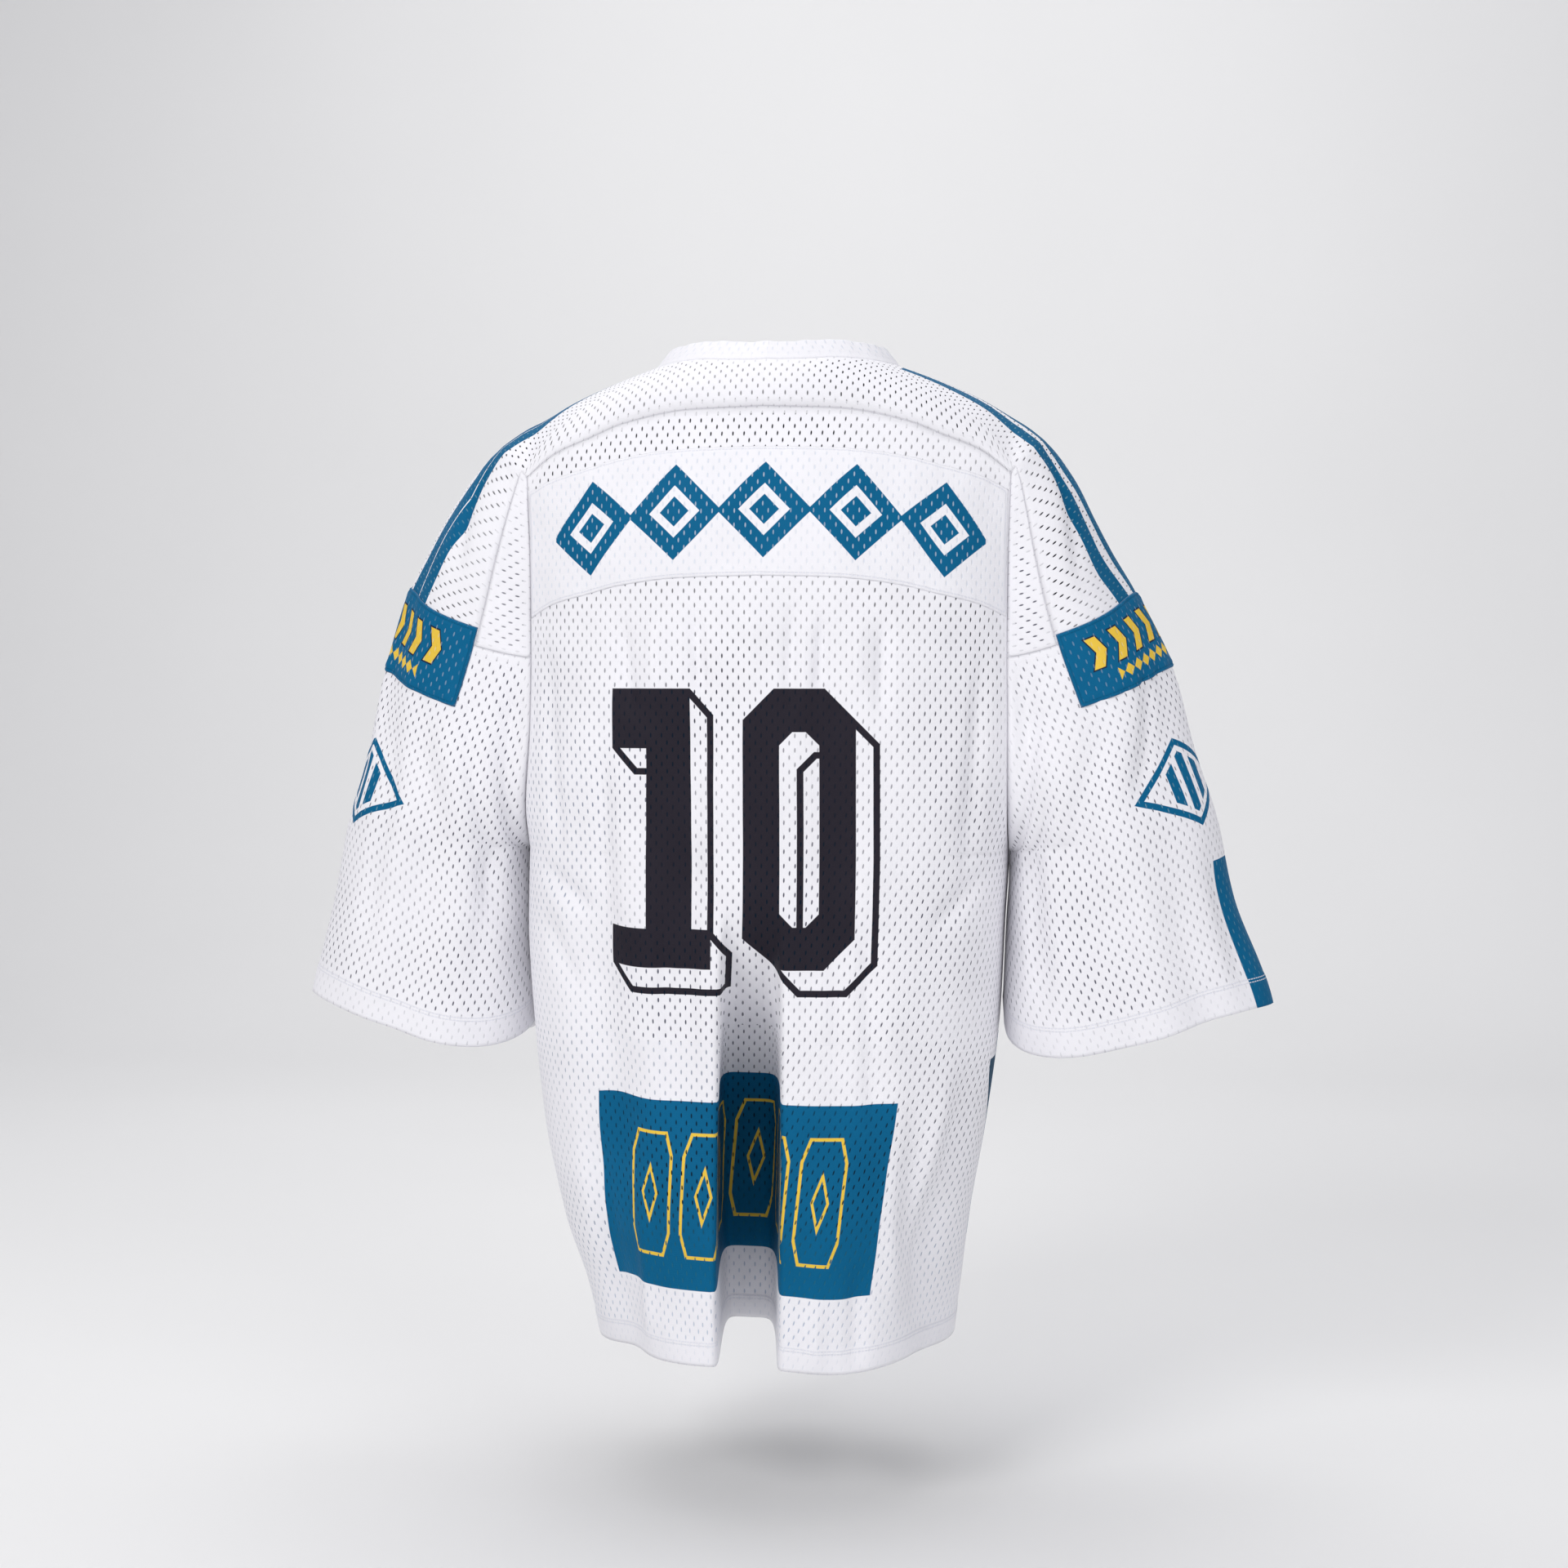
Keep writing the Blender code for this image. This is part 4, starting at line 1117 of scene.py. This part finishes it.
class JERSEY_OT_back_panel(bpy.types.Operator):
    """Make the back panel: it hangs from the yoke, with one deep fold down its lower half"""

    bl_idname = "jersey.back_panel"
    bl_label = "Back panel"

    def execute(self, context):
        rows = steps_between(210, YOKE_CORNER, UNDERARM, FOLD_OPEN, HEM)
        points, maps, walls, plain_x = body_panel(1, rows, 190)
        from_fold = (plain_x[:-1, :-1] + plain_x[1:, 1:]) / 2 - FOLD_MIDDLE
        below = (rows[:-1] < FOLD_OPEN + 1e-9)[:, None]
        in_fold = below & (np.abs(from_fold) < FOLD_REACH)
        cloth = maps["cloth"] = maps["print"] = at_corners(maps["cloth"])
        beside = cloth[..., 0] + np.where(below, np.sign(from_fold) * TUCKED, 0)[..., None]
        cloth[..., 0] = np.where(in_fold[..., None], at_corners(walls), beside)
        tone = colours()
        sewn(
            "back_panel", points, from_middle, maps, sizes().cloth, (0.81, 0.82), area_of(points),
            "back cloth", hem=sizes().hem, stitches=HEM_STITCHES, light_below=-0.71, lean=back_lean,
            prints=[(number_print, [tone.black]), (block_print, [tone.teal, tone.yellow]),
                    # The side wedge is the teal darkened to under half: painted shade.
                    (shaded_side_wedge, [scaled(tone.teal, 0.45)])],
        )
        return {"FINISHED"}


class JERSEY_OT_front_panel(bpy.types.Operator):
    """Make the front panel, plain, with one teal block low on the wearer's right"""

    bl_idname = "jersey.front_panel"
    bl_label = "Front panel"

    def execute(self, context):
        points, maps, _, _ = body_panel(-1, steps_between(170, YOKE_CORNER, UNDERARM, HEM), 150)
        sewn(
            "front_panel", points, from_middle, maps, sizes().cloth, (0.62, 0.76), area_of(points),
            "front cloth", hem=sizes().hem, stitches=HEM_STITCHES, light_below=-0.62,
            prints=[(side_block, [colours().teal])],
        )
        return {"FINISHED"}


def yoke_surface():
    """The yoke with its arms, by line and column, which cells stay, and how many columns each arm has."""
    arm_rows = steps_between(30, YOKE_CORNER, PATCH_TOP, SLEEVE_SEAM)
    arm = len(arm_rows) - 1
    corners = {side: sleeve_ring(side, sleeve_columns(YOKE_CORNER), YOKE_CORNER) for side in (1, -1)}
    points = np.empty((AROUND + 1, 2 * HALF_COLUMNS + 1 + 2 * arm, 3))
    for line in range(AROUND + 1):
        for column in range(2 * HALF_COLUMNS + 1):
            points[line, arm + column] = yoke_point(column, line, corners)
    for number, row in enumerate(arm_rows[1:], 1):
        points[:, arm - number] = sleeve_ring(1, sleeve_columns(row), row)
        points[:, arm + 2 * HALF_COLUMNS + number] = sleeve_ring(-1, sleeve_columns(row), row)
    line, out = np.meshgrid(np.arange(AROUND), np.arange(points.shape[1] - 1) - arm, indexing="ij")
    over = (line >= SKIRT) & (line < SKIRT + SADDLE)
    middle = (out >= 0) & (out < 2 * HALF_COLUMNS)
    neck = over & (np.abs(out + 0.5 - HALF_COLUMNS) < NECK_COLUMNS)
    return points, np.where(middle, ~neck, over), arm


def stripe_middle(points):
    """How far from the crest the rear stripe runs, at each point of the yoke."""
    out = np.abs(points[..., 0])
    left, right = (np.interp(out, *stripe.values()) for stripe in (LEFT_STRIPE, RIGHT_STRIPE))
    return np.where(points[..., 0] > 0, left, right)


def yoke_maps(points, arm):
    """The cloth map runs out along the shoulder and down from the ridge, where the print map starts."""
    top, foot, _, _ = edge_distances(points)
    centre, half = arm + HALF_COLUMNS, AROUND // 2
    out = points[..., 0].copy()
    for side in (1, -1):
        last = centre - side * NECK_COLUMNS
        for column in range(last - side, -1 if side > 0 else points.shape[1], -side):
            out[:, column] = out[:, last] + side * np.linalg.norm(points[:, column] - points[:, last], axis=1)
            last = column
    down = np.where(np.arange(AROUND + 1)[:, None] <= half, top, -foot)
    sides = np.abs(np.arange(points.shape[1]) - centre)
    arms, at_neck = sides > HALF_COLUMNS, sides <= NECK_COLUMNS
    rim = nearest(np.abs(top - top[SKIRT]), np.abs(top - top[SKIRT + SADDLE]))
    run = nearest(np.abs(out - out[:, :1]), np.abs(out - out[:, -1:]))
    seam = nearest(top, foot)
    seam[:, arms] = nearest(rim, run)[:, arms]
    seam[:, at_neck] = nearest(seam, rim)[:, at_neck]
    saddle = np.abs(np.arange(AROUND + 1) - half) <= half - SKIRT
    beyond = (~arms & ~at_neck)[None, :] & saddle[:, None]
    start = np.where(out > 0, points[:, centre - NECK_COLUMNS, :1], -points[:, centre + NECK_COLUMNS, :1])
    seam = np.where(beyond, nearest(seam, np.abs(np.abs(out) - np.abs(start))), seam)
    printed = np.stack([out, top - top[half] - stripe_middle(points)], axis=2)
    return maps_of(np.stack([out, down], axis=2), seam, NO_HEM, printed)


class JERSEY_OT_yoke(bpy.types.Operator):
    """Make the yoke: one piece over both shoulders, with an arm down each upper arm and two stripes"""

    bl_idname = "jersey.yoke"
    bl_label = "Shoulder yoke"

    def execute(self, context):
        points, keep, arm = yoke_surface()
        # The yoke's slots get the darkest painted shade.
        sewn("yoke", points, lambda centre: (0, 0, 1), yoke_maps(points, arm), sizes().cloth, (0.85, 0.38),
             area_of(points, keep), "yoke cloth", keep=keep, gap=colours().neck_slot_shade,
             prints=[(shoulder_stripes, [colours().teal])])
        return {"FINISHED"}


class JERSEY_OT_collar(bpy.types.Operator):
    """Make the collar band: a doubled strip with a folded top edge, leaning in round the neck"""

    bl_idname = "jersey.collar"
    bl_label = "Collar band"

    def execute(self, context):
        angles = np.linspace(0, 2 * math.pi, 241)
        rim = np.array([[*neck_point(a), yoke_height(*neck_point(a))] for a in angles])
        inward = -rim * (1, 1, 0)
        inward /= np.linalg.norm(inward, axis=1, keepdims=True)
        rise = math.sqrt(1 - COLLAR_LEAN ** 2)
        slope = inward * COLLAR_LEAN + (0, 0, rise)
        normal = (0, 0, COLLAR_LEAN) - inward * rise
        half = 0.001
        outer = [(0, 0.6), (0.0012, 1.15), (0.003, 0.8), (0.006, 1),
                 (0.011, 1.05), (0.016, 1), (0.0186, 0.95)]
        inner = [(0.0186, -0.95), (0.016, -1), (0.011, -1), (0.006, -1), (0, -0.9)]
        bend = [(COLLAR_HEIGHT - half + half * math.sin(a), math.cos(a)) for a in np.linspace(0, math.pi, 9)]
        profile = [(up, half * out) for up, out in outer + bend + inner]
        ripple = 0.0003 * np.sin(angles * 31) + 0.0003 * np.sin(angles * 17 + 1)
        points = np.array([rim + slope * up + normal * (out - half + ripple[:, None] * up / COLLAR_HEIGHT)
                           for up, out in profile])
        run, up = along(rim), along(np.array(profile))
        cloth = np.stack(np.broadcast_arrays(run[None, :], up[:, None]), axis=2)
        seam = nearest(cloth[..., 1], up[-1] - cloth[..., 1])
        sewn("collar_band", points, lambda centre: (0, 0, 0), maps_of(cloth, seam, NO_HEM), None,
             (float(run[-1]), float(up[-1])), None, "collar cloth", doubled=True)
        return {"FINISHED"}


class JERSEY_OT_name_plate(bpy.types.Operator):
    """Make the name plate: a doubled panel sewn across the upper back, with a generic row of lozenges"""

    bl_idname = "jersey.name_plate"
    bl_label = "Name plate"

    def execute(self, context):
        points, cloth, _, _ = body_grid(1, steps_between(60, PLATE_TOP - MARGIN, PLATE_FOOT + MARGIN), 200)
        points, cloth = points[:, 1:-1], cloth[:, 1:-1]
        top, foot, left, right = edge_distances(points)
        edge = nearest(top, foot, left, right)
        pucker = 0.00025 * np.sin(left * 420) * ease(0.012 - edge, 0, 0.01)
        dent = 0.0004 * np.exp(-(((edge - 0.0028) / 0.0011) ** 2))
        height = 0.0003 + 0.001 * ease(edge, -0.0006, 0.0016) - dent + pucker
        points = raised(points, points * (1, 1, 0), height)
        printed = np.stack([cloth[..., 0], (top / (top + foot) - 0.5) * -0.109], axis=2)
        sewn("name_plate", points, from_middle, maps_of(cloth, edge + MARGIN, edge, printed), SEWN_ON,
             (0.452, 0.111), area_of(points), "plate cloth", rests_on=["back_panel"], doubled=True,
             stitches=[0.0028], prints=[(plate_print, [colours().teal])])
        return {"FINISHED"}


class JERSEY_OT_upper_sleeves(bpy.types.Operator):
    """Make the four upper sleeve panels, between the armholes and the arms of the yoke"""

    bl_idname = "jersey.upper_sleeves"
    bl_label = "Upper sleeve panels"

    def execute(self, context):
        rows = steps_between(44, YOKE_CORNER, SLEEVE_SEAM)
        for side in (1, -1):
            for place, first, last in (("back", 0, SKIRT), ("front", AROUND - SKIRT, AROUND)):
                points = sleeve_grid(side, rows, first, last)
                top, foot, left, right = edge_distances(points)
                cloth = np.stack([side * (SLEEVE_AXIS + top), left if place == "back" else -right], axis=2)
                maps = maps_of(cloth, nearest(foot, left, right), NO_HEM)
                sewn(f"upper_sleeve_{place}_{hand(side)}", points, lambda centre: (0, centre.y, 0), maps,
                     sizes().cloth, (0.16, 0.06), area_of(points), "upper sleeve cloth")
        return {"FINISHED"}


class JERSEY_OT_lower_sleeves(bpy.types.Operator):
    """Make the two wide lower sleeves, open tubes with turned-up hems"""

    bl_idname = "jersey.lower_sleeves"
    bl_label = "Lower sleeves"

    def execute(self, context):
        rows = steps_between(110, SLEEVE_SEAM, UNDERARM, SLEEVE_FREE, CUFF)
        hem, tone = sizes().cuff, colours()
        for side in (1, -1):
            points = sleeve_grid(side, rows, 0, AROUND)
            top, foot, left, right = edge_distances(points)
            points = turned_up(points, points - (side * SLEEVE_AXIS, 0, 0), foot, hem)
            across = side * (left[:, AROUND // 2, None] - left)
            printed = np.stack([side * across - 0.047, 0.158 - top], axis=2)
            maps = maps_of(np.stack([across, -top], axis=2), nearest(top, left, right), foot, printed)
            makers = [sleeve_print] if side > 0 else [sleeve_print, cuff_stripe]
            sewn(
                f"lower_sleeve_{hand(side)}", points,
                lambda centre: (centre.x - side * SLEEVE_AXIS, centre.y, 0), maps,
                sizes().cloth, (0.6, 0.37), area_of(points), f"lower sleeve cloth {hand(side)}",
                hem=hem, stitches=[hem - 0.0035, hem - 0.0008],
                prints=[(maker, [tone.teal]) for maker in makers],
            )
        return {"FINISHED"}


class JERSEY_OT_sleeve_patches(bpy.types.Operator):
    """Make the two sleeve patches, sewn over the ends of the yoke's arms, with generic chevrons"""

    bl_idname = "jersey.sleeve_patches"
    bl_label = "Sleeve patches"

    def execute(self, context):
        tone = colours()
        for side in (1, -1):
            top_row = PATCH_TOP + (0.006 if side > 0 else -MARGIN)
            grid = []
            for row in steps_between(48, top_row, SLEEVE_SEAM, PATCH_FOOT + MARGIN):
                first = smooth(SLEEVE, "row", "split", row) + 0.003
                grid.append(sleeve_ring(side, np.linspace(first, 1 - first, 121), row))
            points = np.array(grid)
            top, foot, left, right = edge_distances(points)
            edge = nearest(top, foot, left, right)
            pucker = 0.0008 * np.sin(left * 260) * np.sin(top * 210) * ease(0.014 - edge, 0, 0.012)
            dent = 0.0005 * np.exp(-(((edge - 0.003) / 0.0012) ** 2))
            height = 0.0004 + 0.0011 * ease(edge, -0.0006, 0.0018) - dent + pucker
            points = raised(points, points * (1, 1, 0), height)
            across = side * (left[:, 60, None] - left)
            printed = np.stack([across, (top / (top + foot) - 0.5) * -0.064], axis=2)
            maps = maps_of(np.stack([across, -top], axis=2), edge, edge, printed)
            flat = (round(float(left[:, -1].max()), 3), round(float((top + foot).max()), 3))
            sewn(
                f"sleeve_patch_{hand(side)}", points, from_middle, maps, SEWN_ON, flat, area_of(points),
                "patch cloth", rests_on=["yoke", f"lower_sleeve_{hand(side)}"], base=tone.teal, doubled=True,
                stitches=[0.003], thread=(0.002, 0.09, 0.2),
                prints=[(patch_print, [(0.01, 0.02, 0.06), tone.yellow])],
            )
        return {"FINISHED"}


# ---- the studio

def paper_floor(context):
    """A floor that bends up into a backdrop behind the wearer's front."""
    bpy.ops.object.select_all(action="DESELECT")
    bpy.ops.mesh.primitive_plane_add(size=1)
    floor = context.active_object
    floor.name = floor.data.name = "studio_floor"
    bpy.ops.object.mode_set(mode="EDIT")
    bpy.ops.transform.resize(value=(14, 9, 1))
    bpy.ops.transform.translate(value=(0, 2.2, -0.974))
    bpy.ops.object.mode_set(mode="OBJECT")
    for part in (*floor.data.vertices, *floor.data.edges, *floor.data.polygons):
        part.select = False
    for edge in floor.data.edges:
        edge.select = all(floor.data.vertices[v].co.y < 0 for v in edge.vertices)
    bpy.ops.object.mode_set(mode="EDIT")
    bpy.ops.mesh.select_mode(type="EDGE")
    radius, turns = 1.2, 12
    step = 2 * radius * math.sin(math.pi / 4 / turns)
    for turn in range(turns):
        angle = math.pi / 2 * (turn + 0.5) / turns
        bpy.ops.mesh.extrude_region_move(
            TRANSFORM_OT_translate={"value": (0, -step * math.cos(angle), step * math.sin(angle))})
    bpy.ops.mesh.extrude_region_move(TRANSFORM_OT_translate={"value": (0, 0, 4)})
    bpy.ops.mesh.select_all(action="SELECT")
    bpy.ops.mesh.normals_make_consistent(inside=False)
    bpy.ops.object.mode_set(mode="OBJECT")
    bpy.ops.object.shade_smooth()
    paper, s = new_finish("studio paper")
    noise = s.noise(s.add("ShaderNodeTexCoord").outputs["Object"], 1.2, 2.0)
    surface(s, {"Base Color": s.mix(noise, (0.83, 0.83, 0.83), (0.88, 0.88, 0.88)), "Roughness": 0.9})
    floor.data.materials.append(paper)


def soft_light(context, name, place, aim, size, power, colour):
    light = bpy.data.lights.new(name, "AREA")
    light.shape, light.size, light.energy, light.color = "DISK", size, power, colour
    lamp = bpy.data.objects.new(name, light)
    lamp.location = place
    lamp.rotation_euler = (Vector(aim) - Vector(place)).to_track_quat("-Z", "Y").to_euler()
    context.scene.collection.objects.link(lamp)


class JERSEY_OT_studio(bpy.types.Operator):
    """Make the pale floor and backdrop, the soft lights and the camera"""

    bl_idname = "jersey.studio"
    bl_label = "Studio"

    def execute(self, context):
        paper_floor(context)
        jersey, backdrop = (0, 0, -0.4), (0, -2.0, -0.4)
        soft_light(context, "key", (1.6, 2.8, 1.3), jersey, 1.7, 56, (1.0, 0.99, 0.975))
        soft_light(context, "fill", (-2.3, 2.5, 0.6), jersey, 2.1, 30, (0.99, 0.99, 1.0))
        soft_light(context, "top", (0.0, 0.3, 2.2), jersey, 2.2, 5, (1.0, 1.0, 1.0))
        soft_light(context, "backdrop", (0.3, -1.2, 1.9), backdrop, 3.0, 35, (1.0, 1.0, 1.0))
        world = bpy.data.worlds.new("studio air")
        world.use_nodes = True
        air = world.node_tree.nodes["Background"].inputs
        air["Color"].default_value = (0.95, 0.95, 1.0, 1)
        air["Strength"].default_value = 0.4
        context.scene.world = world
        context.scene.view_settings.view_transform = "Standard"

        camera = bpy.data.cameras.new("camera")
        camera.lens, camera.sensor_width = 59.6, 36
        view = bpy.data.objects.new("camera", camera)
        yaw, down, reach = math.radians(7.5), math.radians(2.4), 2.29
        nudge = 7 / 3180
        view.location = (-reach * math.sin(yaw), reach * math.cos(yaw), -0.268)
        view.rotation_euler = (math.pi / 2 - down, 0, math.pi + yaw - nudge)
        context.scene.collection.objects.link(view)
        context.scene.camera = view
        return {"FINISHED"}


class JERSEY_PT_panel(bpy.types.Panel):
    """The jersey's sizes, colours and pieces"""

    bl_idname = "JERSEY_PT_panel"
    bl_label = "Mesh sports jersey"
    bl_space_type = "VIEW_3D"
    bl_region_type = "UI"
    bl_category = "Jersey"

    def draw(self, context):
        for group in (context.scene.jersey_sizes, context.scene.jersey_colours):
            box = self.layout.box()
            for name in group.__annotations__:
                box.prop(group, name)
        for piece in PIECES:
            self.layout.operator(piece.bl_idname)


PIECES = (
    JERSEY_OT_studio,
    JERSEY_OT_back_panel,
    JERSEY_OT_front_panel,
    JERSEY_OT_yoke,
    JERSEY_OT_collar,
    JERSEY_OT_name_plate,
    JERSEY_OT_upper_sleeves,
    JERSEY_OT_lower_sleeves,
    JERSEY_OT_sleeve_patches,
)
CLASSES = (JerseySizes, JerseyColours, *PIECES, JERSEY_PT_panel)


def register():
    for one in CLASSES:
        bpy.utils.register_class(one)
    bpy.types.Scene.jersey_sizes = bpy.props.PointerProperty(type=JerseySizes)
    bpy.types.Scene.jersey_colours = bpy.props.PointerProperty(type=JerseyColours)


def unregister():
    del bpy.types.Scene.jersey_colours
    del bpy.types.Scene.jersey_sizes
    for one in reversed(CLASSES):
        bpy.utils.unregister_class(one)


def main():
    register()
    for piece in PIECES:
        group, name = piece.bl_idname.split(".")
        getattr(getattr(bpy.ops, group), name)()


if __name__ == "__main__":
    main()
